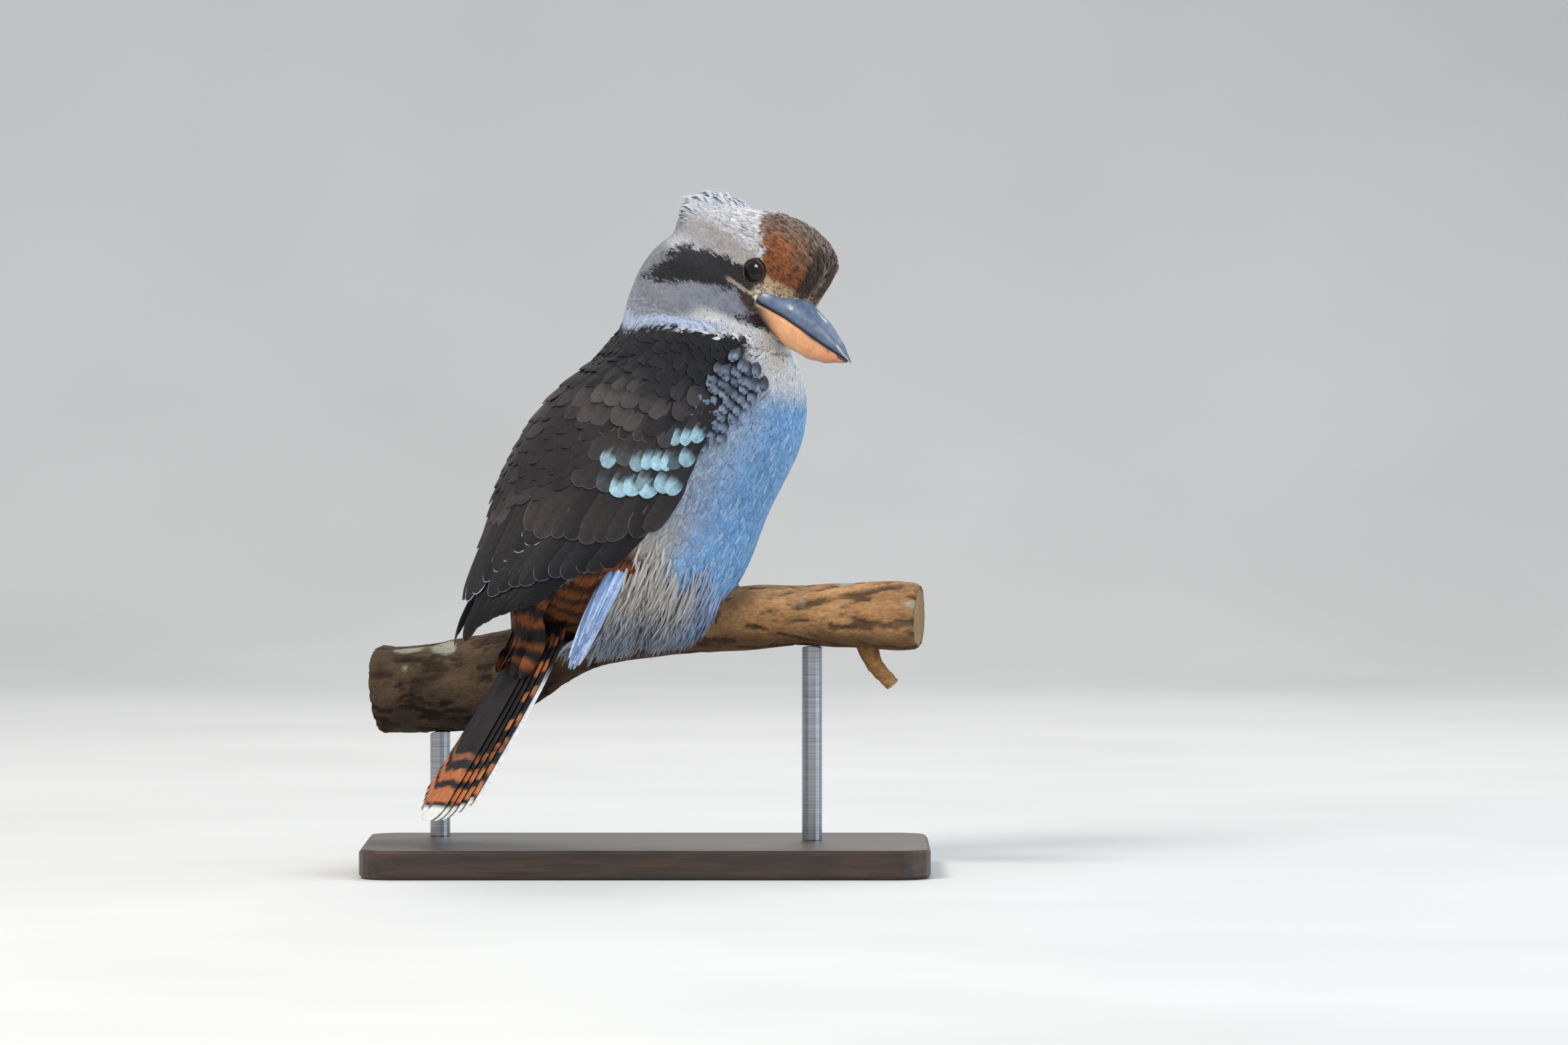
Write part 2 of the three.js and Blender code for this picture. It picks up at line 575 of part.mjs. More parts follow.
// Feather k of a side, counted from the middle pair on top to the outermost below.
function rectrix(side, k) {
  const drop = -TAIL.step * k - (side > 0 ? TAIL.step / 2 : 0);
  const length = TAIL.length - TAIL.rounding * k * k;
  const [atRoot, atTip] = [TAIL.fan.root, TAIL.fan.tip].map(([middle, each]) => middle + each * k);
  const place = (t, across, lift) => {
    const out = -across * side;
    const spread = lerp(atRoot, atTip, t);
    return onTail(lerp(TAIL.root, length, t), side * (spread + out), drop + lift - TAIL.slope * out);
  };
  return vane(place, { width: TAIL.width, root: 0.45, tip: 0.4 });
}

// Coverts that lie along the tail's taper, over it (way 1) or under it (way -1).
function tailCovert(way, share, order) {
  const { stagger, short, long, wide, width, round, above: over, below: under } = TAIL.coverts;
  const start = TAIL.coverts.start + stagger * order;
  const finish = start + lerp(short, long, order);
  const place = (t, across, lift) => {
    const height = lerp(...(way > 0 ? over : under), smooth(t, 0, 0.9));
    const out = lerp(...wide, t) * share + across;
    return onTail(lerp(start, finish, t), out, way * (height - round * out * out * (1 - t)) + lift);
  };
  return vane(place, { width, thickness: 0.8, root: 0.7 });
}

function tail() {
  const end = trunkBulk.intersect(below(PARTING.tail));
  const taperFrame = tailFrame.clone().multiply(frameMatrix(TAIL.taper.at, 0, 0, 0));
  const taper = ellipsoid(taperFrame, TAIL.taper.radii, 2);
  const vanes = [];
  for (let k = 0; k < TAIL.pairs; k++) {
    vanes.push(rectrix(-1, k), rectrix(1, k));
  }
  for (const share of [-1, -0.5, 0, 0.5, 1]) {
    vanes.push(tailCovert(1, share, 1 - Math.abs(share)), tailCovert(-1, share, 1 - Math.abs(share)));
  }
  return largest(join(end, taper, vanes).intersect(below(PARTING.tail)));
}

// Legs: a feathered thigh sunk in the flank, and a foot whose toes wrap the branch.
function thighBall(side, grow) {
  const matrix = frameMatrix([THIGH.at[0], side * THIGH.at[1], THIGH.at[2]], 0, THIGH.pitch, 0);
  return ellipsoid(matrix, THIGH.radii.map((r) => r + grow), 2);
}

// Places round the branch near the feet: along it, an angle from its top, and a height off it.
const [gripStart, gripEnd] = PERCH.grip.map((i) => perchPoint(PERCH.line[i][0], PERCH.line[i][1]));
const perchWay = gripEnd.sub(gripStart).transformDirection(partToBird);
const perchFar = v3(0, 0, 1).cross(perchWay).normalize();
const perchUp = perchWay.clone().cross(perchFar);
function onPerch(alongIt, angle, lift) {
  const reach = GRIP.radius + lift;
  return perchWay.clone().multiplyScalar(alongIt)
    .addScaledVector(perchFar, reach * Math.sin(angle * DEG))
    .addScaledVector(perchUp, reach * Math.cos(angle * DEG))
    .add(v3(0, 0, -GRIP.drop));
}

const footPlace = (side) => -side * GRIP.apart;

function toePoint(side, toe, share) {
  const lift = toe.radius * lerp(...GRIP.press, share) + GRIP.clearance;
  return onPerch(footPlace(side) - side * (toe.shift + toe.fan * share), toe.end * share, lift);
}

function foot(side) {
  const toes = TOES.map((toe) => {
    const points = [0, 0.25, 0.5, 0.75, 1].map((share) => toePoint(side, toe, share));
    const radii = points.map((_, i) => toe.radius * (1 - 0.08 * i));
    return limb(points, radii, { sides: 6, steps: 4 });
  });
  return join(shank(side, 0), toes);
}

function shank(side, grow) {
  const ankle = onPerch(footPlace(side), 0, SHANK.lift);
  const points = [ankle, ...SHANK.bends.map(([x, y, z]) => ankle.clone().add(v3(x, side * y, z)))];
  const radii = SHANK.radii.map((radius) => radius + grow);
  return limb(points, radii, { sides: 8, steps: 4, roundStart: true, roundEnd: true });
}

// The belly feathers part round each foot and close on its shank.
function footRoom(side) {
  const arc = FOOT_ROOM.angles.map((angle) => onPerch(footPlace(side), angle, FOOT_ROOM.lift));
  const radii = arc.map(() => FOOT_ROOM.radius);
  const room = limb(arc, radii, { sides: 8, steps: 6, roundStart: true, roundEnd: true });
  return join(room, shank(side, GAP));
}

function claw(side, toe) {
  const sign = Math.sign(toe.end);
  const past = GAP / (GRIP.radius + toe.radius) / DEG;
  const arc = [0, 0.35, 0.7, 1].map((share) => {
    const angle = toe.end + sign * (past + CLAW.turn * share);
    const arch = CLAW.arch * (Math.sin(Math.PI * share) - share);
    const lift = toe.radius * GRIP.press[1] + GRIP.clearance + arch;
    return onPerch(footPlace(side) - side * (toe.shift + toe.fan), angle, lift);
  });
  return limb(arc, CLAW.radii, { sides: 5, steps: 3 });
}

// The flank's long soft feathers hang over the branch in tapered locks.
function thighLocks(side) {
  const { count, width, turns, ring, shift, bend, tip } = LOCKS;
  const [x, y, z] = THIGH.at.map((value, axis) => value + shift[axis]);
  const locks = [];
  for (let i = 0; i < count; i++) {
    const turn = lerp(...turns, i / (count - 1)) * DEG;
    const out = v3(Math.sin(turn), side * Math.cos(turn), 0);
    const across = v3(-out.y, out.x, 0);
    const start = v3(x + ring[0] * out.x, side * y + ring[1] * out.y, z);
    const knee = start.clone().addScaledVector(out, bend.out).add(vec(bend.fall));
    const finish = start.clone().addScaledVector(out, tip.out).add(vec(tip.fall));
    finish.z -= tip.ragged * Math.sin(2.4 * i);
    const curve = new THREE.QuadraticBezierCurve3(start, knee, finish);
    const place = (t, offset, lift) => {
      return curve.getPoint(t).addScaledVector(across, offset).addScaledVector(out, lift);
    };
    locks.push(vane(place, { width, thickness: 1, root: 0.8, tip: 0.25 }));
  }
  return locks;
}

const perchSolid = perch();
const perchCut = perchLimb(PERCH.clearance);
const perchCutInBird = solid(toGeometry(perchCut).applyMatrix4(partToBird));
const feet = { left: foot(1), right: foot(-1) };
const footRooms = [footRoom(1), footRoom(-1)];
const claws = [1, -1].flatMap((side) => TOES.map((toe) => ({ side, toe, shape: claw(side, toe) })));

function torso() {
  const middle = trunkBulk.intersect(below(PARTING.neck)).intersect(above(PARTING.tail));
  return largest(cut(middle, thighBall(1, GAP), thighBall(-1, GAP), perchCutInBird, footRooms));
}

function neck() {
  return largest(neckBulk.intersect(above(PARTING.neck)).intersect(below(PARTING.head)));
}

function thigh(side) {
  const locks = join(...thighLocks(side)).subtract(trunkAt(2 * GAP));
  return largest(cut(join(thighBall(side, 0), locks), perchCutInBird, footRooms));
}

// The scene: the stand and branch in the part's frame, the bird in a turned group.
const group = new THREE.Group();
const bird = new THREE.Group();
bird.position.set(...BIRD.at);
bird.rotation.z = BIRD.heading * DEG;
group.add(bird);

function addMesh(parent, name, manifold, look) {
  const [color, roughness] = COLOURS[look];
  const material = new THREE.MeshStandardMaterial({ color, roughness, metalness: look === 'rod' ? 0.8 : 0 });
  const mesh = new THREE.Mesh(toGeometry(manifold), material);
  mesh.name = name;
  parent.add(mesh);
}

addMesh(group, 'stand_base', standBase(), 'base');
addMesh(group, 'stand_rod_left', standRod(ROD.left, perchCut), 'rod');
addMesh(group, 'stand_rod_right', standRod(ROD.right, perchCut), 'rod');
addMesh(group, 'perch', perchSolid, 'bark');
addMesh(bird, 'torso', torso(), 'cream');
addMesh(bird, 'neck', neck(), 'cream');
addMesh(bird, 'head', head(), 'head');
addMesh(bird, 'bill_upper', largest(cut(billUpper(0), nostril(1), nostril(-1))), 'horn');
addMesh(bird, 'bill_lower', billLower(0), 'bone');
addMesh(bird, 'tail', tail(), 'rufous');
for (const [name, side] of [['left', 1], ['right', -1]]) {
  addMesh(bird, `eye_${name}`, eyeBall(side, 0, 3), 'eye');
  addMesh(bird, `wing_${name}`, wing(side), 'brown');
  addMesh(bird, `thigh_${name}`, thigh(side), 'cream');
  addMesh(bird, `foot_${name}`, largest(cut(feet[name], perchCutInBird)), 'scale');
}
for (const { side, toe, shape } of claws) {
  addMesh(bird, `claw_${toe.name}_${side > 0 ? 'left' : 'right'}`, shape, 'claw');
}

export default group;
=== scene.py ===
"""A laughing kookaburra on a cut branch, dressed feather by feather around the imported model.

The bird is worked out in millimetres in its own frame (x forward, y to its left, z up, origin
between the feet on top of the branch), its head in the head's frame (origin midway between the
eyes, x along the bill), and everything is turned into the model's metres as it becomes a mesh.
"""

import bpy
import numpy as np
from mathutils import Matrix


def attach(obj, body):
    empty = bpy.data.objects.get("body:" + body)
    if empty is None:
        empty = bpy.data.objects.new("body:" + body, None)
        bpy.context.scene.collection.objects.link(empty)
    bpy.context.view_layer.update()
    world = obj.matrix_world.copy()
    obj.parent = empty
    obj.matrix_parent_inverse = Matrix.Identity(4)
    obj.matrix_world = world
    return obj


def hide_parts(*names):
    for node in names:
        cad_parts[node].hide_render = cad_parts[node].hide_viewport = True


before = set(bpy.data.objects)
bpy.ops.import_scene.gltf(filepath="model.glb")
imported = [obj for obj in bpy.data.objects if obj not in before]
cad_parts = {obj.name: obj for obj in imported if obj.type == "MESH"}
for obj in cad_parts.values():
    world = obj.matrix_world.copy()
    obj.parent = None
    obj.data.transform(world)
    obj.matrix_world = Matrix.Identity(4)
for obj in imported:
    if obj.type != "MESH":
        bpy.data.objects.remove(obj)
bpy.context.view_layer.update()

# Driving dimensions, in millimetres and degrees, the same as the solids have.
MM = 0.001
SEED = 41
BIRD_AT, BIRD_YAW = (21.5, 25.0, 137.0), 30
HEAD_AT, HEAD_TURN = (41.0, -21.0, 155.8), (-84, -25, 13)
BLEND = 16.0
EYE = dict(radius=9.2, side=14.2, forward=12, rim=6.3)
BILL = dict(root=8.0, tip=73.0, mouth=-12.3, half_width=12.5, flare=5.8, flare_from=10.5, flare_to=27)
TAIL = dict(at=(-65.5, 0, 18.6), pitch=57.6, length=153, root=20, pairs=6, step=1.1, width=15.0,
            fan=((2.5, 2.8), (3.5, 3.9)), rounding=0.5)
GRIP = dict(radius=15.6, drop=15.4, apart=17)
PERCH_YAW = -12

# The masses under the coat: frame, centre, radii and the lift of the long axis.
FORMS = [
    ("bird", (-35, 0, 54), (81.5, 46, 52.5), 58),
    ("bird", (13.5, 0, 81), (55.5, 44, 42.5), 58),
    ("bird", (-0.5, 0, 35.5), (50.5, 36.5, 33.5), 70),
    ("bird", (-58, 0, 22), (36, 23.5, 20), 58),
    ("bird", (2.5, 0.5, 115.5), (44.5, 35, 38.5), 55),
    ("bird", (8.5, 15.5, 147), (35, 26, 28.5), 60),
    ("head", (-10.5, 0, 6), (38.5, 21, 20), 14),
    ("head", (4.5, 0, -10.5), (19.5, 13.5, 13), 0),
    ("head", (-17, 0, -16), (29.5, 18.5, 15.5), 10),
    ("head", (-40, 0, -20), (30, 25, 24), 30),
    ("head", (-52, 0, 0), (29, 22, 12), 14),
]
WING_TAPER = ("bird", (-81.5, 0, 25.5), (84, 33, 27), 60.5)
WING_FROM, WING_TO = np.array([2.0, 0, 122]), np.array([-130.0, 0, -40])
TRUNK_AXIS, TRUNK_BELLY = np.array([0.53, 0, 0.848]), np.array([0.848, 0, -0.53])
TRUNK_MIDDLE = np.array([-30.0, 0, 58])
THIGH = dict(at=(-22, 20.5, 19), radii=(30, 17, 25), pitch=52)

# The bill's ridge and its lower line: shares of its length and heights in the head's frame.
CULMEN = [(0, 1), (0.2, -0.6), (0.55, -2.8), (0.8, -6.6), (0.94, -10.3), (1, -12)]
JAW = [(0, -24.5), (0.3, -26), (0.55, -24.6), (0.75, -21), (0.92, -15.9), (1, -13.2)]
# The branch's line: x, height and radius. Its stump of a twig: x and height, bends and radii.
PERCH = [
    (-135, 87.7, 22.3), (-112, 88.3, 23), (-89, 90, 23.2), (-69, 96, 20.6), (-46, 106.5, 16.6),
    (-20, 115.5, 15.4), (4, 119.6, 15.3), (21.5, 121.6, 15.3), (53, 125, 16.2),
    (76, 126, 16), (116, 125.6, 17.3), (135, 125, 16.6),
]
TWIG = dict(at=(108, 114), bends=[(0, 0, 0), (5, -3, -12), (14, -6, -22)], radii=[5.5, 4.2, 3.4])

# Where head and neck part, and the way from there towards the head.
NECK_AT, NECK_WAY = np.array([30, 10, 135]), np.array([0.23, -0.32, 0.92])
# In the head's frame: where the bill leaves the coat, and the middle that the unwrap turns round.
BILL_ROOT, SKULL = np.array([24, 0, -11]), np.array([-20, 0, -5])

# The camera's view: how many metres of the bird's plane the picture's width spans, the place of its
# middle there, the camera's distance and how far it looks down. The lens follows from these.
VIEW = dict(width=0.7765, centre=(0.0681, 0.1722), distance=5.0, elevation=1.5)


def unit(v):
    return v / (np.linalg.norm(v, axis=-1, keepdims=True) + 1e-12)


def lerp(a, b, t):
    return a + (b - a) * t


def smooth(x, lo=0.0, hi=1.0):
    t = np.clip((x - lo) / (hi - lo), 0, 1)
    return t * t * (3 - 2 * t)


def bump(x, centre, half):
    """1 at the centre, falling smoothly to 0 at half away from it."""
    return 1 - smooth(np.abs(x - centre), half * 0.4, half)


def rotation(yaw=0, pitch=0, roll=0):
    """Columns are the turned axes: yaw to the left, pitch lifts the nose, roll drops the left."""
    (cy, cp, cr), (sy, sp, sr) = [f(np.radians([yaw, pitch, roll])) for f in (np.cos, np.sin)]
    turn = np.array([[cy, -sy, 0], [sy, cy, 0], [0, 0, 1]])
    lift = np.array([[cp, 0, -sp], [0, 1, 0], [sp, 0, cp]])
    drop = np.array([[1, 0, 0], [0, cr, sr], [0, -sr, cr]])
    return turn @ lift @ drop


BIRD_M = rotation(BIRD_YAW)
HEAD_M = rotation(*HEAD_TURN)


def bird_to_part(p):
    return (p @ BIRD_M.T + np.array(BIRD_AT)) * MM


def part_to_part(p):
    return p * MM


def to_head(p):
    return (p - np.array(HEAD_AT)) @ HEAD_M


def from_head(q):
    return np.asarray(q, float) @ HEAD_M.T + np.array(HEAD_AT)


def lattice(ix, iy, iz, seed):
    h = (ix * 73856093) ^ (iy * 19349663) ^ (iz * 83492791) ^ (seed * 40503)
    h = ((h ^ (h >> 13)) * 1274126177) & 0x7FFFFFFF
    h = ((h ^ (h >> 11)) * 69069) & 0x7FFFFFFF
    return (h & 0xFFFFF) / 0xFFFFF


def noise(p, size=1.0, seed=0):
    """Smooth random values from 0 to 1 over space, with lumps of the given size."""
    q = np.asarray(p, float) / size
    cell = np.floor(q).astype(np.int64)
    f = q - cell
    f = f * f * (3 - 2 * f)
    total = 0
    for corner in np.ndindex(2, 2, 2):
        weight = np.prod([f[..., i] if c else 1 - f[..., i] for i, c in enumerate(corner)], axis=0)
        total = total + weight * lattice(*[cell[..., i] + c for i, c in enumerate(corner)], seed)
    return total


def layered(p, size, seed=0, layers=3):
    """Noise of the given size with finer noise over it."""
    total = sum(noise(p, size / 2**i, seed + 7 * i) / 2**i for i in range(layers))
    return total / sum(1 / 2**i for i in range(layers))


# The coat's outer surface is a level of a distance field of blended ellipsoids.
def prepare(forms):
    """Centre, axes and radii of each mass in the bird's frame."""
    out = []
    for where, at, radii, pitch in forms:
        at, m = np.array(at, float), rotation(0, pitch)
        if where == "head":
            at, m = from_head(at), HEAD_M @ m
        out.append((at, m, np.array(radii, float)))
    return out


BODY = prepare(FORMS)
GUIDE = prepare([form for form in FORMS if form[0] == "bird"] + [WING_TAPER])
THIGHS = prepare([("bird", (THIGH["at"][0], s * THIGH["at"][1], THIGH["at"][2]), THIGH["radii"],
                   THIGH["pitch"]) for s in (1, -1)])
COAT = BODY + THIGHS


def field(p, forms):
    """How far places lie outside the blended masses, in mm."""
    nearest = None
    for at, m, radii in forms:
        q = (p - at) @ m
        near = np.linalg.norm(q / radii, axis=-1)
        reach = near * (near - 1) / (np.linalg.norm(q / radii**2, axis=-1) + 1e-9)
        if nearest is None:
            nearest = reach
        else:
            share = np.maximum(BLEND - np.abs(nearest - reach), 0) / BLEND
            nearest = np.minimum(nearest, reach) - share * share * BLEND / 4
    return nearest


def slope(p, forms):
    step = 0.05 * np.eye(3)
    return np.stack([(field(p + s, forms) - field(p - s, forms)) / 0.1 for s in step], -1)


def settle(p, forms, level, rounds=3):
    """Moves places along the field's slope to a level over the masses."""
    for _ in range(rounds):
        g = slope(p, forms)
        p = p - ((field(p, forms) - level) / np.sum(g * g, -1))[..., None] * g
    return p


def march(origin, way, forms, level, rounds=40):
    """Where rays from within the masses reach a level over them."""
    t = np.zeros(origin.shape[:-1])
    for _ in range(rounds):
        short = level - field(origin + way * t[..., None], forms)
        t = t + np.clip(short, -8, 8) * 0.9
    return origin + way * t[..., None]


# Wing places: a share of the way along the wing's line and an angle down from the back's middle.
WING_AXIS = WING_TO - WING_FROM
WING_BACK = unit(np.array([WING_AXIS[2], 0, -WING_AXIS[0]]))


def wing_point(side, s, phi, level):
    """The place at a share and an angle, at a level over the body's guide."""
    s, phi, level, side = np.broadcast_arrays(s, np.radians(phi), level, side)
    origin = WING_FROM + WING_AXIS * s[..., None]
    way = WING_BACK * np.cos(phi)[..., None] + np.array([0, 1, 0]) * (side * np.sin(phi))[..., None]
    return march(origin, way, GUIDE, level)


def wing_place(p):
    """The share and the angle of places, the same on both sides."""
    s = (p - WING_FROM) @ WING_AXIS / (WING_AXIS @ WING_AXIS)
    radial = p - WING_FROM - WING_AXIS * s[..., None]
    return s, np.degrees(np.arctan2(np.abs(p[..., 1]), radial @ WING_BACK))


# The folded wing's lower edge, as shares and angles.
WING_EDGE = np.array([
    (0.0, 104), (0.04, 101), (0.14, 98), (0.23, 95), (0.33, 101), (0.43, 108), (0.56, 108),
    (0.63, 101), (0.68, 91), (0.73, 78), (0.81, 72), (0.90, 54), (0.97, 29), (1.0, 10),
])


def wing_edge(s):
    return np.interp(s, *WING_EDGE.T)


def rgb(r, g, b):
    """A linear colour, from plain red, green and blue in 0 to 255."""
    c = np.array([r, g, b]) / 255
    return np.where(c <= 0.04045, c / 12.92, ((c + 0.055) / 1.055) ** 2.4)


WHITE = rgb(230, 230, 234)
# The breast's blue: a painted cast of sky light.
PAINTED_SKY_BLUE = rgb(126, 180, 236)
DARK = rgb(34, 27, 25)
ORANGE = rgb(160, 92, 52)
UMBER = rgb(64, 46, 36)
RUFOUS = rgb(166, 92, 50)
TURQUOISE = rgb(158, 192, 204)


def paint(base, colour, mask):
    return base + (colour - base) * np.clip(mask, 0, 1)[..., None]


def blend(dark, light, share):
    """Colours between two, which are given from 0 to 255."""
    return lerp(rgb(*dark), rgb(*light), share[..., None])


def folded(q):
    """Places as x, distance from the middle plane and z, since both sides are marked alike."""
    return q[..., 0], np.abs(q[..., 1]), q[..., 2]


def pale_head(q, grain):
    """The head's ground: pale flecked crown, grey cheeks and nape, white throat."""
    x, z = q[..., 0], q[..., 2]
    flecks = layered(q * np.array([0.45, 1, 1]), 2.6, 3) * 0.55 + grain * 0.45
    c = np.broadcast_to(rgb(222, 222, 228), q.shape)
    c = paint(c, rgb(142, 134, 132), smooth(flecks, 0.5, 0.66) * smooth(z, -4, 4) * 0.6)
    c = paint(c, rgb(170, 160, 152), bump(z, 2, 8) * smooth(-x, -4, 6) * 0.75)
    c = paint(c, rgb(196, 200, 212), smooth(-x, 40, 56) * smooth(z, -4, 4) * 0.6)
    cheek = blend((114, 115, 124), (162, 164, 174), layered(q * np.array([0.4, 1, 1]), 4, 4))
    c = paint(c, cheek, smooth(-z, 7, 14))
    c = paint(c, rgb(244, 240, 234), smooth(-z, 21, 25) * smooth(x, 0, 13))
    return paint(c, rgb(126, 127, 134), smooth(-x, 34, 56) * smooth(-z, -6, 6) * 0.9)


def brown_crown(c, q, grain, speck):
    """The brown forehead, rusty before the eye and flecked dark and pale."""
    x, y, z = folded(q)
    front = lerp(0.0, -20, smooth(z, 12, 26)) + 13 * (layered(q, 6, 5) - 0.5) + 9 * (grain - 0.5)
    brown = smooth(x, front - 1.5, front + 2) * smooth(z, -4.5, -2.5)
    far = np.linalg.norm((q - np.array([7, 0, 4])) * np.array([0.75, 0, 0.9]), axis=-1)
    rich = 1 - smooth(far + 9 * (layered(q, 7, 15) - 0.5), 11, 22)
    rusty = ORANGE * (0.7 + 0.9 * noise(q, 2.6, 16) * grain)[..., None]
    c = paint(c, lerp(rgb(128, 106, 90), rusty, (rich * smooth(y, 4, 10))[..., None]), brown)
    limit = lerp(0.44, 0.52, rich)
    middle = smooth(x, -34, -12) * (1 - smooth(y, 5, 14)) * smooth(z, 8, 16)
    c = paint(c, UMBER, smooth(speck, limit, limit + 0.14) * np.maximum(brown, 0.7 * middle) * 0.8)
    pale = smooth(noise(q, 2.2, 19) * 0.6 + 0.4 * grain, 0.66, 0.8) * (1 - rich)
    return paint(c, rgb(168, 140, 112), pale * brown * 0.6)


def brow_marks(c, q, speck):
    """The buff brow over the bill's root and the dark edge where the forehead meets the bill."""
    x, y, z = folded(q)
    buff = blend((216, 188, 152), (150, 108, 74), smooth(speck, 0.5, 0.7))
    c = paint(c, buff, bump(z, -1.5, 4.5) * smooth(x, 5, 9) * 0.85)
    edge = smooth(x, 18, 21) * smooth(y, 1, 3) * (1 - smooth(y, 8, 10)) * smooth(z, -3, 1)
    return paint(c, rgb(44, 36, 34), edge * 0.8)


def eye_stripe(c, q, grain):
    """The black stripe from the eye to the nape and the pale line under its front end."""
    x, y, z = folded(q)
    back = (-x + y - 21) / np.sqrt(2)
    top = np.where(back > 0, -0.12 * back, -2.0) - 0.006 * np.maximum(back - 27, 0) ** 2
    low = np.where(back > 0, -12.5 - 0.0085 * back * back, -12.5 + 0.64 * back)
    low = low + 0.012 * np.maximum(back - 32, 0) ** 2
    wave = 2.4 * (noise(q, 3.5, 11) - 0.5) + 2.2 * (grain - 0.5)
    stripe = smooth(top + wave - z, -0.8, 0.8) * smooth(z - low - wave, -0.8, 0.8)
    stripe = stripe * (1 - smooth(back + 0.45 * (z + 16) + 2.4 * wave, 41, 45)) * smooth(back, -9.5, -8)
    c = paint(c, blend((10, 9, 11), (36, 31, 30), 0.7 * grain), stripe * 0.97)
    line = bump(z, -9.8 + 0.08 * back, 1.3) * smooth(back, -6.5, -5) * (1 - smooth(back, 8, 11))
    return paint(c, rgb(190, 168, 150), line * 0.8)


def gape_marks(c, q, grain, speck):
    """The buff lores, the dark line above the gape, the dark gape and painted shade in the fold below
    it.
    """
    x, y, z = folded(q)
    lores = smooth(x, 5, 9) * smooth(-z, 2.5, 5) * (1 - smooth(-z, 10, 12))
    c = paint(c, blend((232, 212, 182), (150, 122, 98), smooth(speck, 0.5, 0.66)), lores)
    slim = np.hypot((z + 13.5 + 0.45 * (x - 8)) / 2.4, np.maximum(np.abs(x - 10) - 5, 0))
    c = paint(c, rgb(70, 50, 42), (1 - smooth(slim, 0.6, 1.2)) * smooth(y, 12, 15) * 0.9)
    gape = 1 - smooth(np.hypot((x - 17.5) / 6.0, (z + 19.5) / 3.6) + 0.5 * (grain - 0.5), 0.75, 1.1)
    c = paint(c, blend((34, 26, 26), (84, 56, 44), smooth(grain, 0.5, 1)), gape * smooth(y, 4, 7))
    # Painted shade along the fold under the gape.
    crease_shade = bump(z, -31.4, 1.0) * smooth(x, 17, 20) * (1 - smooth(x, 25, 27))
    return paint(c, rgb(84, 76, 72), crease_shade * 0.6)


def head_colour(q, grain):
    """The head's markings at places in its frame; grain is a random value for each feather."""
    speck = layered(q * np.array([0.6, 1, 1]), 2.4, 9) * 0.6 + grain * 0.4
    c = brown_crown(pale_head(q, grain), q, grain, speck)
    c = eye_stripe(brow_marks(c, q, speck), q, grain)
    return gape_marks(c, q, grain, speck)


def body_colour(p, grain):
    """The body's markings at places in the bird's frame; the breast's blue is painted sky light."""
    s, phi = wing_place(p)
    y, z = np.abs(p[..., 1]), p[..., 2]
    off = p - TRUNK_MIDDLE
    ahead = unit(off - TRUNK_AXIS * (off @ TRUNK_AXIS)[..., None]) @ TRUNK_BELLY
    light = (0.72 + 0.5 * grain + 0.3 * (noise(p, 4, 24) - 0.5))[..., None]
    # The breast painted blue with sky light, paler on some feathers.
    blue = lerp(PAINTED_SKY_BLUE * light, rgb(226, 236, 248), (0.4 * smooth(grain, 0.7, 1))[..., None])
    c = paint(np.broadcast_to(rgb(184, 192, 208), p.shape), blue, smooth(ahead, -0.05, 0.75))
    flank = smooth(y, 18, 32) * (1 - smooth(z, 24, 48)) * (1 - smooth(ahead, 0.15, 0.5))
    c = paint(c, rgb(196, 184, 170), flank)
    c = paint(c, rgb(166, 172, 186), smooth(-z, -6, 12) * (1 - smooth(ahead, 0.4, 0.8)) * 0.8)
    streak = noise(p * np.array([1, 1, 0.7]), 1.3, 21) * 0.3 + noise(p, 3.0, 22) * 0.2 + grain * 0.5
    near_wing = 1 - smooth(np.abs(phi - wing_edge(s) - 10), 8, 34)
    streak = smooth(streak, 0.45, 0.75) * lerp(0.3, 0.7, near_wing) * (1 - 0.8 * flank)
    c = paint(c, blend((92, 116, 152), (116, 116, 118), near_wing), streak)
    height = neck_height(p)
    c = paint(c, rgb(128, 131, 142), smooth(height, -44, -26) * (1 - smooth(ahead, 0.0, 0.4)) * 0.9)
    c = paint(c, rgb(238, 235, 230), smooth(height, -26, -12) * smooth(ahead, 0.1, 0.5) * 0.95)
    rump = smooth(s, 0.52, 0.57) * (1 - smooth(phi, 128, 138)) * smooth(phi, 98, 104)
    rump = np.maximum(rump, smooth(s, 0.66, 0.7) * smooth(phi, 104, 110))
    bars = smooth(np.sin((z + 0.35 * y) * 0.8 + 5 * noise(p, 7, 8)), -0.1, 0.4)
    return paint(c, paint(np.broadcast_to(RUFOUS * 0.7, p.shape), DARK, bars * 0.85), rump)


def mantle_start(phi):
    """How far down the wing's line the dark mantle begins, at an angle from the back's middle."""
    return np.interp(phi, [0, 60, 100], [0.085, 0.02, -0.045])


def coat_colour(p, grain):
    """The head's and the body's markings, with the dark mantle and its pale collar over them."""
    share = smooth(neck_height(p), -14, 4)
    c = lerp(body_colour(p, grain), head_colour(to_head(p), grain), share[..., None])
    s, phi = wing_place(p)
    start, edge = mantle_start(phi), wing_edge(s)
    # The pale collar, painted blue with a cast of sky light.
    c = paint(c, rgb(178, 194, 224), bump(s, start - 0.02, 0.026) * (1 - smooth(phi, 66, 88)) * 0.8)
    back = smooth(s + 0.03 * (grain - 0.5), start - 0.006, start + 0.006)
    back = back * (1 - smooth(phi, edge - 4, edge + 4))
    back = back * (1 - smooth(s, 0.53, 0.57) * smooth(phi, 98, 104))
    # The mantle's darkest tone is faintly blue: a painted sky sheen.
    return paint(c, blend((16, 17, 22), (38, 35, 36), 0.6 * grain + 0.4 * noise(p, 12, 3)), back)


def neck_height(p):
    """How far a place lies towards the head from where head and neck part."""
    return (p - NECK_AT) @ NECK_WAY


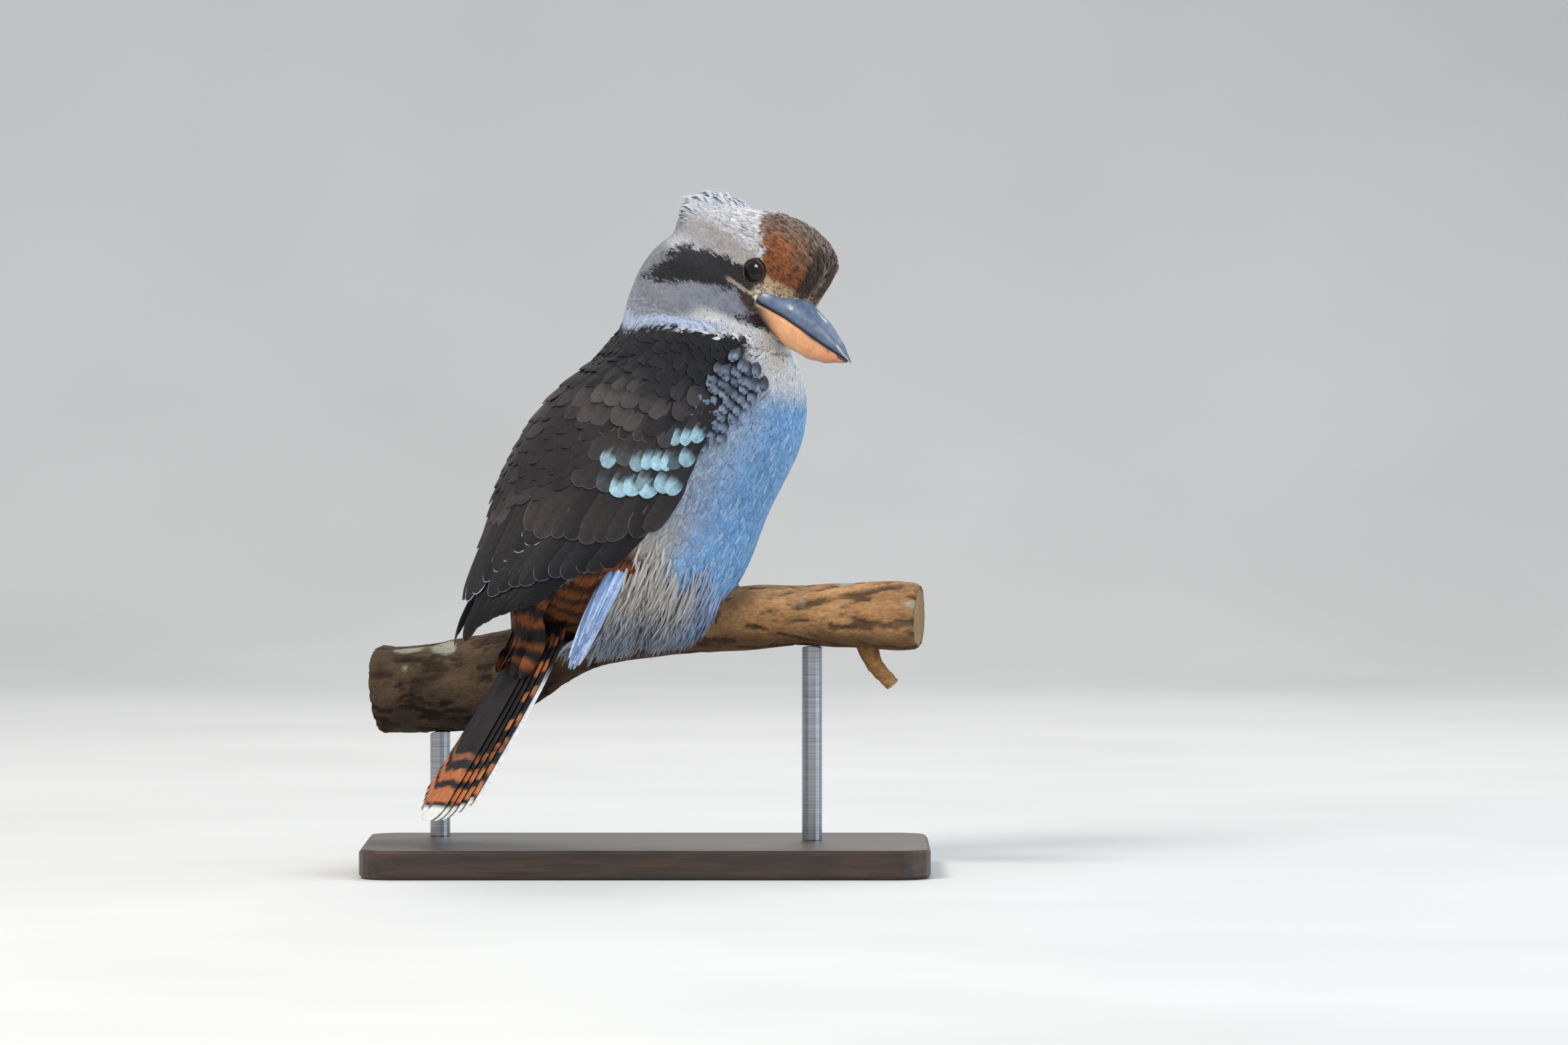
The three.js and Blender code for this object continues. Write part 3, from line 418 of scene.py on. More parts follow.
# Meshes: many closed lofts at once, with colours and maps given for each of their points.
def loft(rings, caps):
    """Faces of n lofts of s rings of k points; caps are the faces that close both ends. A
    triangle's fourth corner is -1."""
    n, s, k = rings.shape[:3]
    index = np.arange(n * s * k).reshape(n, s, k)
    ahead = np.roll(index, -1, axis=2)
    sides = np.stack([index[:, :-1], ahead[:, :-1], ahead[:, 1:], index[:, 1:]], -1)
    caps = np.array(caps)
    ends = np.concatenate([index[:, -1][:, caps], index[:, 0][:, caps[:, ::-1]]])
    ends = ends.reshape(-1, caps.shape[1])
    ends = np.pad(ends, ((0, 0), (0, 4 - caps.shape[1])), constant_values=-1)
    return np.concatenate([sides.reshape(-1, 4), ends])


def flat_caps(k):
    """Quads that close a ring whose points run out along a top and back along a bottom."""
    return [(j, j + 1, k - 2 - j, k - 1 - j) for j in range(k // 2 - 1)]


def add_mesh(name, points, quads, material, place=bird_to_part, tint=None, edge=None, maps=None,
             replaces=(), creased=None):
    """A mesh piece. creased gives a loft's ring size and which of its lines of points are sharp."""
    mesh = bpy.data.meshes.new(name)
    points = place(points.reshape(-1, 3))
    used = quads >= 0
    loops = quads[used]
    corners = used.sum(1)
    starts = np.cumsum(corners) - corners
    mesh.vertices.add(len(points))
    mesh.vertices.foreach_set("co", points.ravel())
    mesh.loops.add(len(loops))
    mesh.loops.foreach_set("vertex_index", loops.astype(np.int32))
    mesh.polygons.add(len(starts))
    mesh.polygons.foreach_set("loop_start", starts.astype(np.int32))
    mesh.polygons.foreach_set("use_smooth", np.ones(len(starts), bool))
    mesh.update(calc_edges=True)
    if creased:
        ring, lines = creased
        ends = np.zeros(len(mesh.edges) * 2, np.int32)
        mesh.edges.foreach_get("vertices", ends)
        line = ends.reshape(-1, 2) % ring
        sharp = (line[:, 0] == line[:, 1]) & np.isin(line[:, 0], lines)
        mesh.attributes.new("sharp_edge", "BOOLEAN", "EDGE").data.foreach_set("value", sharp)
    for layer, values in (("tint", tint), ("edge", edge)):
        if values is None:
            continue
        values = values.reshape(-1, values.shape[-1])
        if values.shape[-1] == 3:
            values = np.concatenate([values, np.ones((len(values), 1))], 1)
        attribute = mesh.color_attributes.new(layer, "FLOAT_COLOR", "POINT")
        attribute.data.foreach_set("color", values.astype(np.float32).ravel())
    for layer, uv in (maps or {}).items():
        mesh.uv_layers.new(name=layer).data.foreach_set("uv", uv.reshape(-1, 2)[loops].ravel())
    mesh.validate()
    obj = bpy.data.objects.new(name, mesh)
    bpy.context.scene.collection.objects.link(obj)
    mesh.materials.append(material)
    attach(obj, "root")
    if replaces:
        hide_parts(*replaces)
    return obj


# The unwrap that every feather's patch is placed on: the head by direction from its middle, the
# body by turn round and way along the trunk, the wings and tail by their own two measures.
def skin_unwrap(p):
    """Places in the unwrap: head above, body below."""
    q = to_head(p) - SKULL
    turn = np.arctan2(q[..., 1], q[..., 2]) / (2 * np.pi) + 0.5
    rise = np.arctan2(q[..., 0], np.hypot(q[..., 1], q[..., 2])) / np.pi + 0.5
    head = np.stack([0.02 + 0.46 * turn, 0.52 + 0.46 * rise], -1)
    r = p - TRUNK_MIDDLE
    turn = np.arctan2(r[..., 1], r @ TRUNK_BELLY) / (2 * np.pi) + 0.5
    rise = np.clip(r @ TRUNK_AXIS / 260 + 0.5, 0, 1)
    body = np.stack([0.02 + 0.96 * turn, 0.02 + 0.46 * rise], -1)
    return np.where((neck_height(p) > -6)[..., None], head, body)


def patch(root_uv, u, t):
    """A feather's own small patch at its root's place: across is u in -1 to 1, along t in 0 to 1."""
    offset = 0.003 * np.stack(np.broadcast_arrays(u * 0.5, t - 0.5), -1)
    return root_uv[:, None, None, :] + offset


# Materials, all made of nodes.
def set_sockets(shader, values):
    for socket, value in values.items():
        shader.inputs[socket].default_value = value


def new_material(name, roughness=0.6, metallic=0.0, specular=0.5):
    material = bpy.data.materials.new(name)
    material.use_nodes = True
    shader = material.node_tree.nodes["Principled BSDF"]
    set_sockets(shader, {"Roughness": roughness, "Metallic": metallic, "Specular IOR Level": specular})
    return material, material.node_tree, shader


def node(tree, kind, links=None, **settings):
    """A node with its settings and sockets: links maps a socket to a value or another's output."""
    made = tree.nodes.new(kind)
    for key, value in settings.items():
        setattr(made, key, value)
    for key, value in (links or {}).items():
        if isinstance(value, bpy.types.NodeSocket):
            tree.links.new(value, made.inputs[key])
        else:
            made.inputs[key].default_value = value
    return made


def ramp(tree, value, stops):
    made = node(tree, "ShaderNodeValToRGB", {"Fac": value})
    elements = made.color_ramp.elements
    while len(elements) < len(stops):
        elements.new(0.5)
    for element, (place, colour) in zip(elements, stops):
        element.position = place
        element.color = (*colour, 1)
    return made.outputs["Color"]


def mix_colour(tree, how, fac, a, b):
    made = node(tree, "ShaderNodeMix", {0: fac, 6: a, 7: b}, data_type="RGBA", blend_type=how)
    return made.outputs[2]


def math(tree, how, a, b=0.0, c=0.0):
    made = node(tree, "ShaderNodeMath", {0: a, 1: b, 2: c}, operation=how)
    return made.outputs[0]


def noise_node(tree, vector, scale, detail=3.0, roughness=0.55):
    links = {"Vector": vector, "Scale": scale, "Detail": detail, "Roughness": roughness}
    return node(tree, "ShaderNodeTexNoise", links).outputs["Fac"]


def map_range(tree, value, low, high, start=0.3, end=0.7):
    """A value that runs from low to high while the given one runs from start to end."""
    links = {"Value": value, "From Min": start, "From Max": end, "To Min": low, "To Max": high}
    return node(tree, "ShaderNodeMapRange", links).outputs[0]


def link(tree, value, shader, socket):
    tree.links.new(value, shader.inputs[socket])


def painted(tree):
    return node(tree, "ShaderNodeVertexColor", layer_name="tint").outputs["Color"]


def multiply_colour(tree, colour, shade):
    return mix_colour(tree, "MULTIPLY", 1.0, colour, shade)


def add_relief(tree, shader, height, strength, distance):
    links = {"Height": height, "Strength": strength, "Distance": distance}
    link(tree, node(tree, "ShaderNodeBump", links).outputs["Normal"], shader, "Normal")


def coordinates(tree, scale=(1, 1, 1)):
    where = node(tree, "ShaderNodeTexCoord").outputs["Object"]
    return node(tree, "ShaderNodeMapping", {"Vector": where, "Scale": scale}).outputs["Vector"]


def plume_material(name, roughness, barbs, edged=False, mottle=0.16, sheen=0.15, through=0.0):
    """Feather: the painted tint, an edge where the edge colour says, a shaft and fine barbs."""
    material, tree, shader = new_material(name, roughness, specular=0.2)
    colour = painted(tree)
    vane = node(tree, "ShaderNodeUVMap", uv_map="Vane").outputs["UV"]
    split = node(tree, "ShaderNodeSeparateXYZ", {"Vector": vane})
    out = math(tree, "ABSOLUTE", split.outputs["X"])
    if edged:
        rim = node(tree, "ShaderNodeVertexColor", layer_name="edge")
        rough = noise_node(tree, coordinates(tree), 900.0, 2.0)
        inset = math(tree, "SUBTRACT", rim.outputs["Alpha"], 0.08)
        reach = math(tree, "MULTIPLY_ADD", rough, 0.16, inset)
        share = map_range(tree, reach, 0.0, 1.0, 0.74, 0.98)
        colour = mix_colour(tree, "MIX", share, colour, rim.outputs["Color"])
    soft = noise_node(tree, coordinates(tree), 420.0, 4.0)
    colour = multiply_colour(tree, colour, map_range(tree, soft, 1 - mottle, 1 + mottle))
    slant = math(tree, "SUBTRACT", split.outputs["Y"], math(tree, "MULTIPLY", out, 1.2))
    wave = math(tree, "SINE", math(tree, "MULTIPLY", slant, 14.0))
    shaft = map_range(tree, out, 1.0, 0.0, 0.1, 0.3)
    height = math(tree, "MULTIPLY_ADD", shaft, 1.0, math(tree, "MULTIPLY", wave, 0.22))
    add_relief(tree, shader, height, barbs, 0.0004)
    link(tree, colour, shader, "Base Color")
    set_sockets(shader, {
        "Sheen Weight": sheen, "Sheen Roughness": 0.5, "Subsurface Weight": through,
        "Subsurface Radius": (1.0, 0.9, 0.8), "Subsurface Scale": 0.0015})
    return material


def tinted_material(name, roughness, scale, relief, spread=0.12, specular=0.5, coat=0.0):
    """A surface of its painted tint with noise in its colour, roughness and height."""
    material, tree, shader = new_material(name, roughness, specular=specular)
    colour = painted(tree)
    grain = noise_node(tree, coordinates(tree), scale, 5.0)
    colour = multiply_colour(tree, colour, map_range(tree, grain, 1 - spread, 1 + spread))
    link(tree, colour, shader, "Base Color")
    rough = map_range(tree, grain, max(roughness - 0.08, 0), min(roughness + 0.1, 1))
    link(tree, rough, shader, "Roughness")
    add_relief(tree, shader, grain, relief, 0.0006)
    set_sockets(shader, {"Coat Weight": coat, "Coat Roughness": 0.05})
    return material


DOWN = plume_material("soft_feathers", roughness=0.8, barbs=0.25, mottle=0.12, sheen=0.06, through=0.5)
VANE = plume_material("vaned_feathers", roughness=0.6, barbs=0.35, edged=True, mottle=0.22, sheen=0.03)
SKIN = tinted_material("down_and_skin", 0.85, 500.0, 0.5)
HORN = tinted_material("upper_bill_horn", 0.34, 260.0, 0.25, spread=0.2, coat=0.15)
BONE = tinted_material("lower_bill_horn", 0.38, 240.0, 0.2, spread=0.12, coat=0.12)
LID = tinted_material("bare_skin", 0.5, 900.0, 0.6)
SCALE = tinted_material("foot_scales", 0.5, 700.0, 0.4)
CLAW = tinted_material("claw_horn", 0.3, 500.0, 0.2, coat=0.2)
WET = tinted_material("eye", 0.1, 700.0, 0.0, spread=0.1, specular=0.35)


def centre_line(points, count=60):
    """A smooth line through points."""
    p = np.array(points, float)
    ends = np.vstack([2 * p[0] - p[1], p, 2 * p[-1] - p[-2]])
    t = np.linspace(0, len(p) - 1, count)
    i = np.minimum(t.astype(int), len(p) - 2)
    f = (t - i)[:, None]
    a, b, c, d = ends[i], ends[i + 1], ends[i + 2], ends[i + 3]
    bend, twist = 2 * a - 5 * b + 4 * c - d, 3 * b - a - 3 * c + d
    return 0.5 * (2 * b + (c - a) * f + bend * f**2 + twist * f**3)


def turns(count):
    return np.arange(count) / count * 2 * np.pi


def tube(line, radii, sides, up=(0, 0, 1)):
    """Rings of a round limb with a radius for each station, and which way each point faces."""
    along = unit(np.gradient(line, axis=0))
    across = unit(np.cross(along, np.array(up, float)))
    other = np.cross(across, along)
    angle = turns(sides)
    out = across[:, None] * np.cos(angle)[:, None] + other[:, None] * np.sin(angle)[:, None]
    return line[:, None] + out * radii[:, None, None], out


def round_ends(line, radii, count=5, start=True):
    """Adds stations that close a limb's end with a dome, and its start too."""
    dome = np.linspace(0, np.pi / 2, count + 1)[1:]
    way = unit(line[-1] - line[-2])
    line = np.vstack([line, line[-1] + way * radii[-1] * np.sin(dome)[:, None]])
    radii = np.append(radii, radii[-1] * np.maximum(np.cos(dome), 0.02))
    if start:
        way = unit(line[0] - line[1])
        line = np.vstack([(line[0] + way * radii[0] * np.sin(dome)[:, None])[::-1], line])
        radii = np.append((radii[0] * np.maximum(np.cos(dome), 0.02))[::-1], radii)
    return line, radii


def fan_caps(k):
    """Quads that close a ring of an even number of points."""
    return [(0, j, j + 1, j + 2) for j in range(1, k - 2, 2)]


# The size of the voxels that give the skin's faces and the feathers' roots, quick and in full.
VOXELS = dict(skin=(2.4, 2.2), body=(2.2, 1.65), head=(1.6, 1.03), fluff=(2.2, 1.3))


def voxel(which):
    quick, full = VOXELS[which]
    return full


def mass_mesh(forms, size):
    """Points and quads of a closed mesh round the masses, with faces of about the given size."""
    import bmesh

    mesh = bpy.data.meshes.new("masses")
    bm = bmesh.new()
    for at, m, radii in forms:
        made = bmesh.ops.create_icosphere(bm, subdivisions=4, radius=1.0)
        for v in made["verts"]:
            v.co = (at + (np.array(v.co) * radii * 0.97) @ m.T).tolist()
    bm.to_mesh(mesh)
    bm.free()
    obj = bpy.data.objects.new("masses", mesh)
    bpy.context.scene.collection.objects.link(obj)
    remesh = obj.modifiers.new("remesh", "REMESH")
    remesh.mode = "VOXEL"
    remesh.voxel_size = size
    shape = obj.evaluated_get(bpy.context.evaluated_depsgraph_get()).to_mesh()
    points = np.zeros(len(shape.vertices) * 3, np.float32)
    shape.vertices.foreach_get("co", points)
    loops = np.zeros(len(shape.loops), np.int32)
    shape.loops.foreach_get("vertex_index", loops)
    bpy.data.objects.remove(obj)
    bpy.data.meshes.remove(mesh)
    return points.reshape(-1, 3).astype(float), loops.reshape(-1, 4).astype(np.int64)


def eye_frame(side):
    at = from_head((0, side * EYE["side"], 0))
    return at, HEAD_M @ rotation(side * (90 - EYE["forward"]))


def eye_distance(p):
    """How far places lie from the nearer eye's axis, outside the head, in millimetres."""
    best = np.full(p.shape[:-1], 99.0)
    for side in (1, -1):
        at, m = eye_frame(side)
        q = (p - at) @ m
        away = np.hypot(q[..., 1], q[..., 2] * 1.08)
        best = np.where(q[..., 0] > 0, np.minimum(best, away), best)
    return best


def coat_depth(p):
    """How deep the skin lies under the coat's surface."""
    return lerp(1.6, 0.7, smooth(neck_height(p), -10, 12))


def build_skin():
    """One closed surface under the coat, from the same masses."""
    points, quads = mass_mesh(COAT, voxel("skin"))
    points = settle(points, COAT, -coat_depth(points), 4)
    socket = 3.2 * (1 - smooth(eye_distance(points), 4.5, 7.0))
    points = points - unit(slope(points, COAT)) * socket[:, None]
    tint = coat_colour(points, np.full(len(points), 0.45))
    add_mesh("skin", points, quads, SKIN, tint=tint, maps={"OFBake": skin_unwrap(points)},
             replaces=("torso", "neck", "head", "thigh_left", "thigh_right"))


# The coat: soft feathers rooted on the skin, each following the surface along its lie.
def lie(p):
    """Which way the coat lies: back from the bill on the head, towards the tail on the body."""
    from_bill = to_head(p) - BILL_ROOT
    near = 1 - smooth(np.linalg.norm(from_bill, axis=-1), 12, 45)
    back = unit(np.array([-1.0, 0, -0.1]))
    on_head = unit(lerp(back, unit(from_bill), (0.75 * near)[..., None])) @ HEAD_M.T
    droop = (1 - smooth(p[..., 2], 8, 40)) * smooth(p[..., 0], -75, -50)
    on_body = lerp(-TRUNK_AXIS, np.array([-0.2, 0, -1.0]), (0.7 * droop)[..., None])
    return unit(lerp(on_body, on_head, smooth(neck_height(p), -16, 10)[..., None]))


# Along a soft feather: the share of its length at each station, and of its widest half width.
COAT_VANE = np.array([(0, 0.6), (0.26, 1.0), (0.56, 1.0), (0.84, 0.7), (1.0, 0.06)]).T


FLUFF_VANE = np.array([(0, 0.5), (0.26, 1.0), (0.54, 0.95), (0.8, 0.55), (1.0, 0.05)]).T


def grow(name, roots, length, width, lift, draws, spread, thickness=0.2):
    """Soft feathers from their roots, of the given lengths and widths; lift is the tips' height."""
    n = len(roots)
    turn = draws.normal(0, spread, n)
    grain = draws.random(n)
    rise = lift * (0.7 + 0.6 * draws.random(n))
    depth = -coat_depth(roots)
    p, before, mids, ups = roots, 0.0, [], []
    for t in COAT_VANE[0]:
        normal = unit(slope(p, COAT))
        way = lie(p)
        way = unit(way - normal * np.sum(way * normal, -1, keepdims=True))
        way = unit(way + np.cross(normal, way) * turn[:, None])
        p = p + way * ((t - before) * length)[:, None]
        p = settle(p, COAT, lerp(depth, rise, smooth(t, -0.15, 0.62)), 1)
        before = t
        mids.append(p)
        ups.append(normal)
    mid = np.stack(mids, 1)
    colour = coat_colour(mid, np.broadcast_to(grain[:, None], mid.shape[:2]))
    soft_vanes(name, mid, np.stack(ups, 1), width, length, COAT_VANE, thickness, colour, draws)


def soft_vanes(name, mid, up, width, length, shape, thickness, colour, draws):
    """Closed vanes of a three-point section along their middles: mid, up and colour are n x s x 3."""
    stations, widths = shape
    along = unit(np.gradient(mid, axis=1))
    across = unit(np.cross(up, along))
    up = np.cross(along, across)
    half = width[:, None] / 2 * widths
    section = np.array([(-1, -0.5), (0, 0.5), (1, -0.5)])
    rings = (mid[:, :, None] + across[:, :, None] * (half[:, :, None] * section[:, 0])[..., None]
             + up[:, :, None] * (thickness * section[:, 1] * widths[:, None])[None, :, :, None])
    colour = colour * (0.93 + 0.14 * draws.random(len(mid)))[:, None, None]
    # Painted shade: each feather darker towards its root, under the feathers that lie over it.
    colour = colour * lerp(0.85, 1.03, stations)[:, None]
    tint = np.broadcast_to(colour[:, :, None], rings.shape)
    u = np.broadcast_to(section[:, 0], rings.shape[:3])
    t = np.broadcast_to(stations[:, None], rings.shape[:3])
    vane = np.stack([u * half[..., None], t * length[:, None, None]], -1)
    maps = {"OFBake": patch(skin_unwrap(mid[:, 0]), u, t), "Vane": vane}
    add_mesh(name, rings, loft(rings, [(0, 1, 2)]), DOWN, tint=tint, maps=maps,
             creased=(3, (0, 2)))


def coat_roots(size, draws):
    """Places on the skin, about one for each voxel of the given size."""
    points, _ = mass_mesh(COAT, size)
    points = points + draws.normal(0, 0.4 * size, points.shape)
    return settle(points, COAT, -coat_depth(points), 3)


def in_bill(q, margin=0.3):
    """Whether places in the head's frame lie within the bill."""
    t = (q[..., 0] - BILL["root"]) / (BILL["tip"] - BILL["root"])
    inside = np.clip(t, 0, 1)
    wide = bill_half_width(inside) + margin
    low, high = profile(JAW, inside), profile(CULMEN, inside)
    middle, reach = (low + high) / 2, (high - low) / 2 + margin
    return (t > 0) & ((q[..., 1] / wide) ** 2 + ((q[..., 2] - middle) / reach) ** 2 < 1)


def bill_half_width(t):
    """Half the bill's width at shares of its length, wider where it leaves the coat."""
    x = lerp(BILL["root"], BILL["tip"], t)
    flare = BILL["flare"] * (1 - smooth(x, BILL["flare_from"], BILL["flare_to"]))
    slim = 1 - 0.18 * np.sin(np.pi * t)
    return BILL["half_width"] * (1 - t**1.5) * slim + 0.55 * (1 - t) ** 0.3 + flare


def body_coat(draws):
    """Breast and flanks, with longer feathers at flank and vent and wider ones on the mantle."""
    roots = coat_roots(voxel("body"), draws)
    s, phi = wing_place(roots)
    under_wing = (s > 0.12) & (s < 0.6) & (phi < wing_edge(s) - 14)
    roots = roots[(neck_height(roots) < 0) & ~under_wing]
    s, phi = wing_place(roots)
    height, edge = neck_height(roots), wing_edge(s)
    upper = smooth(height, -40, 0)
    fluffy = (1 - smooth(roots[:, 2], 6, 46)) * smooth(roots[:, 0], -76, -50)
    mantle = smooth(s - mantle_start(phi), -0.01, 0.02) * (1 - smooth(phi, edge - 4, edge))
    mantle = mantle * (1 - smooth(height, -24, -10))
    length = lerp(lerp(12.0, 9.0, upper), 19.0, fluffy)
    width = lerp(lerp(2.8, 2.1, upper), 2.5, fluffy) + 1.6 * mantle
    lift = 0.35 + 1.5 * fluffy + 1.2 * mantle
    front, left = (roots - TRUNK_MIDDLE) @ TRUNK_BELLY > 22, roots[:, 1] > 0
    parts = {"breast_left": front & left, "breast_right": front & ~left,
             "flank_left": left & ~front, "flank_right": ~left & ~front}
    for name, mask in parts.items():
        grow(f"coat_{name}", roots[mask], length[mask], width[mask], lift[mask], draws, 0.26)


def head_coat(draws):
    """Short fine feathers at the face, longer ones behind and a raised crest at the back."""
    roots = coat_roots(voxel("head"), draws)
    roots = roots[neck_height(roots) >= -3]
    away = eye_distance(roots)
    keep = (away > EYE["rim"] + 0.1) & ~in_bill(to_head(roots))
    roots, away = roots[keep], away[keep]
    x, y, z = to_head(roots).T
    face, top = smooth(x, -12, 14), smooth(z, 10, 17)
    crest = smooth(-x, 40, 54) * smooth(z, -2, 8)
    length = lerp(lerp(8.0, 3.4, face), 14.0, crest) + 3.0 * top * (1 - crest)
    length = np.minimum(length, lerp(2.0, 9.0, smooth(away, 6.4, 16)) + 6 * crest)
    width = lerp(lerp(2.05, 1.38, face), 2.25, crest)
    lift = lerp(0.15, 0.45, smooth(-x, 0, 20)) + 1.1 * top * smooth(x, -34, -14) + 3.4 * crest
    lift = lift * smooth(away, 6, 12) * lerp(0.5, 1.6, draws.random(len(x)) * np.maximum(top, crest))
    brow, cheek, left = (z <= 8) & (z > -9), z <= -9, y > 0
    parts = {"crown": z > 8, "brow_left": brow & left, "brow_right": brow & ~left,
             "cheek_left": cheek & left, "cheek_right": cheek & ~left}
    for name, mask in parts.items():
        grow(f"coat_{name}", roots[mask], length[mask], width[mask], lift[mask], draws, 0.12,
             thickness=0.12)


def build_fluff(side, name):
    """The flank's and thigh's long soft feathers, hanging in ragged locks beside the branch."""
    draws = np.random.default_rng(SEED + 60 + side)
    points, _ = mass_mesh(COAT, voxel("fluff"))
    roots = settle(points + draws.normal(0, 0.6, points.shape), COAT, -1.2, 3)
    x, y, z = roots[:, 0], roots[:, 1] * side, roots[:, 2]
    way_round = np.arctan2(y - 8, x + 26)
    locks = np.linspace(-0.4, 3.5, 17)
    nearest = np.abs(way_round[:, None] + draws.normal(0, 0.1, (len(x), 1)) - locks)
    lock = locks[np.argmin(nearest, 1)]
    top = 24 + 9 * np.sin(lock * 7.3) + 5 * np.sin(lock * 3.1) - 16 * smooth(np.abs(x + 30), 18, 36)
    chance = smooth(top - z, -4, 22) * 0.85
    keep = (y > 6) & (z > -17) & (x > -60) & (x < 4) & (draws.random(len(x)) < chance)
    roots, lock, way_round = roots[keep], lock[keep], way_round[keep]
    n = len(roots)
    normal = unit(slope(roots, COAT))
    outward = unit(normal * np.array([1, 1, 0.15]))
    low = 1 - smooth(roots[:, 2], -14, 16)
    length = lerp(17, 13, low) + 6 * draws.random(n) + 3.0 * np.sin(lock * 5.3)
    down = unit(np.array([-0.42, 0, -1.0]))
    around = unit(np.stack([-outward[:, 1], outward[:, 0], np.zeros(n)], -1)) * side
    drift = (lock - way_round)[:, None] * 6 + draws.normal(0, 2.2, (n, 1))
    curl = draws.normal(0, 0.5, (n, 1))
    stations = FLUFF_VANE[0]
    mid = np.stack([roots + normal * (0.2 + 1.3 * np.sin(2.4 * t)) + outward * curl * t
                    + down * (length * t)[:, None] + around * drift * t * t for t in stations], 1)
    sunk = (field(mid, COAT) < 0.3) & (stations > 0)
    mid = np.where(sunk[..., None], settle(mid, COAT, 0.6, 2), mid)
    up = np.broadcast_to(outward[:, None], mid.shape)
    width = 0.9 + 0.8 * draws.random(n)
    grain = draws.random(n)
    warm = blend((150, 156, 170), (200, 190, 178), smooth(roots[:, 2], -8, 10))
    # The fluff's front painted blue with the same cast of sky light as the breast.
    warm = lerp(warm, rgb(150, 178, 222), (smooth(roots[:, 0], -24, -4) * 0.85)[:, None])
    colour = lerp(warm, rgb(128, 128, 134), (0.5 * smooth(grain, 0.5, 1))[:, None])[:, None]
    soft_vanes(f"coat_fluff_{name}", mid, up, width, length, FLUFF_VANE, 0.16, colour, draws)


# Large feathers: a vane with a shaft, wide enough for edges and bars of its own.
LARGE_ACROSS = np.array([-1, -0.62, -0.25, 0, 0.25, 0.62, 1])


def large_feathers(name, mid, across, up, half, thickness, tint, edge, root_uv, stations,
                   replaces, camber):
    """mid, across, up: n x s x 3; half: n x s; tint: n x s x 7 x 3; edge: the same with a rim."""
    u = LARGE_ACROSS
    k = len(u)
    perimeter = np.concatenate([np.arange(k), np.arange(k)[::-1]])
    face = np.concatenate([np.ones(k), -np.ones(k)])
    uu = u[perimeter]
    thick = thickness / 2 * np.maximum(1 - uu**2 * 0.8, 0.25)
    shaft = np.where((perimeter == k // 2) & (face > 0), thickness * 0.7, 0)
    height = thick * face - camber * uu**2 + shaft
    narrow = np.minimum(half / (half.max() + 1e-9) * 2, 1)[..., None]
    rings = (mid[:, :, None] + across[:, :, None] * (half[..., None] * uu)[..., None]
             + up[:, :, None] * (height * narrow)[..., None])
    uv_u = np.broadcast_to(uu, rings.shape[:3])
    uv_t = np.broadcast_to(stations[:, None], rings.shape[:3])
    vane = np.stack([uv_u * half[..., None], uv_t * arc_length(mid)[:, None, None]], -1)
    maps = {"OFBake": patch(root_uv, uv_u, uv_t), "Vane": vane}
    add_mesh(name, rings, loft(rings, flat_caps(2 * k)), VANE, tint=tint[:, :, perimeter],
             edge=edge[:, :, perimeter], maps=maps, replaces=replaces,
             creased=(2 * k, (0, k - 1, k, 2 * k - 1)))


def feather_width(t, tip, root):
    """The half width of a round-ended feather along its length, as a share of its widest."""
    end = np.clip((t - (1 - tip)) / tip, 0, 1)
    return np.maximum(lerp(root, 1, smooth(t, 0, 0.45)) * np.sqrt(1 - end**2), 0.03)


def feather_stations(count, tip):
    """Shares of a feather's length, closer together where its end is round."""
    turn = np.linspace(0, np.pi / 2, 7)[1:]
    return np.concatenate([np.linspace(0, 1 - tip, count), 1 - tip * (1 - np.sin(turn))])


# The folded wing's tiers, with their feathers' width in mm. Each has a line of roots and a line of
# tips from the lowest feather to the one nearest the back, as shares of the wing's line and angles,
# and lies at low mm over the body's guide at its root and at high at its tip.
TIERS = [
    dict(name="primaries", count=9, width=9.5, root=[(0.5, 96), (0.52, 56)],
         tip=[(0.8, 76), (0.87, 52), (0.935, 24)], low=0.6, high=2.0, kind="flight"),
    dict(name="secondaries", count=10, width=10.5, root=[(0.38, 102), (0.4, 46)],
         tip=[(0.62, 104), (0.70, 87), (0.77, 62), (0.83, 40)], low=1.2, high=3.0, kind="flight"),
    dict(name="tertials", count=8, width=11, root=[(0.36, 44), (0.4, 4)],
         tip=[(0.66, 52), (0.72, 40), (0.80, 30), (0.855, 8)], low=2.0, high=3.4, kind="flight"),
    dict(name="greater", count=9, width=13, root=[(0.29, 104), (0.34, 42)],
         tip=[(0.49, 107), (0.57, 95), (0.62, 80), (0.65, 62), (0.66, 42)], low=2.0, high=4.2,
         kind="covert"),
    dict(name="median_low", count=10, width=11.5, root=[(0.24, 103), (0.31, 46)],
         tip=[(0.40, 102), (0.44, 92), (0.47, 81), (0.5, 64), (0.52, 44)], low=2.2, high=4.6,
         kind="covert"),
    dict(name="median_high", count=10, width=10.5, root=[(0.17, 101), (0.26, 44)],
         tip=[(0.32, 100), (0.365, 92), (0.4, 82), (0.43, 66), (0.46, 44)], low=2.2, high=4.6,
         kind="covert"),
    dict(name="lesser", count=9, width=9, root=[(0.12, 101), (0.19, 42)],
         tip=[(0.265, 98), (0.31, 86), (0.35, 66), (0.39, 42)], low=2.2, high=4.4, kind="covert"),
]
# Where the pale tips lie on the folded wing: share, angle and strength.
PALE_TIPS = [
    (0.405, 101, 0.9), (0.435, 93, 1.0), (0.46, 85, 1.0), (0.485, 76, 1.0), (0.33, 98, 0.8),
    (0.37, 91, 1.0), (0.395, 84, 0.9), (0.43, 67, 0.8), (0.265, 98, 0.8), (0.285, 92, 0.9),
    (0.215, 98, 0.9), (0.22, 92, 0.8),
]
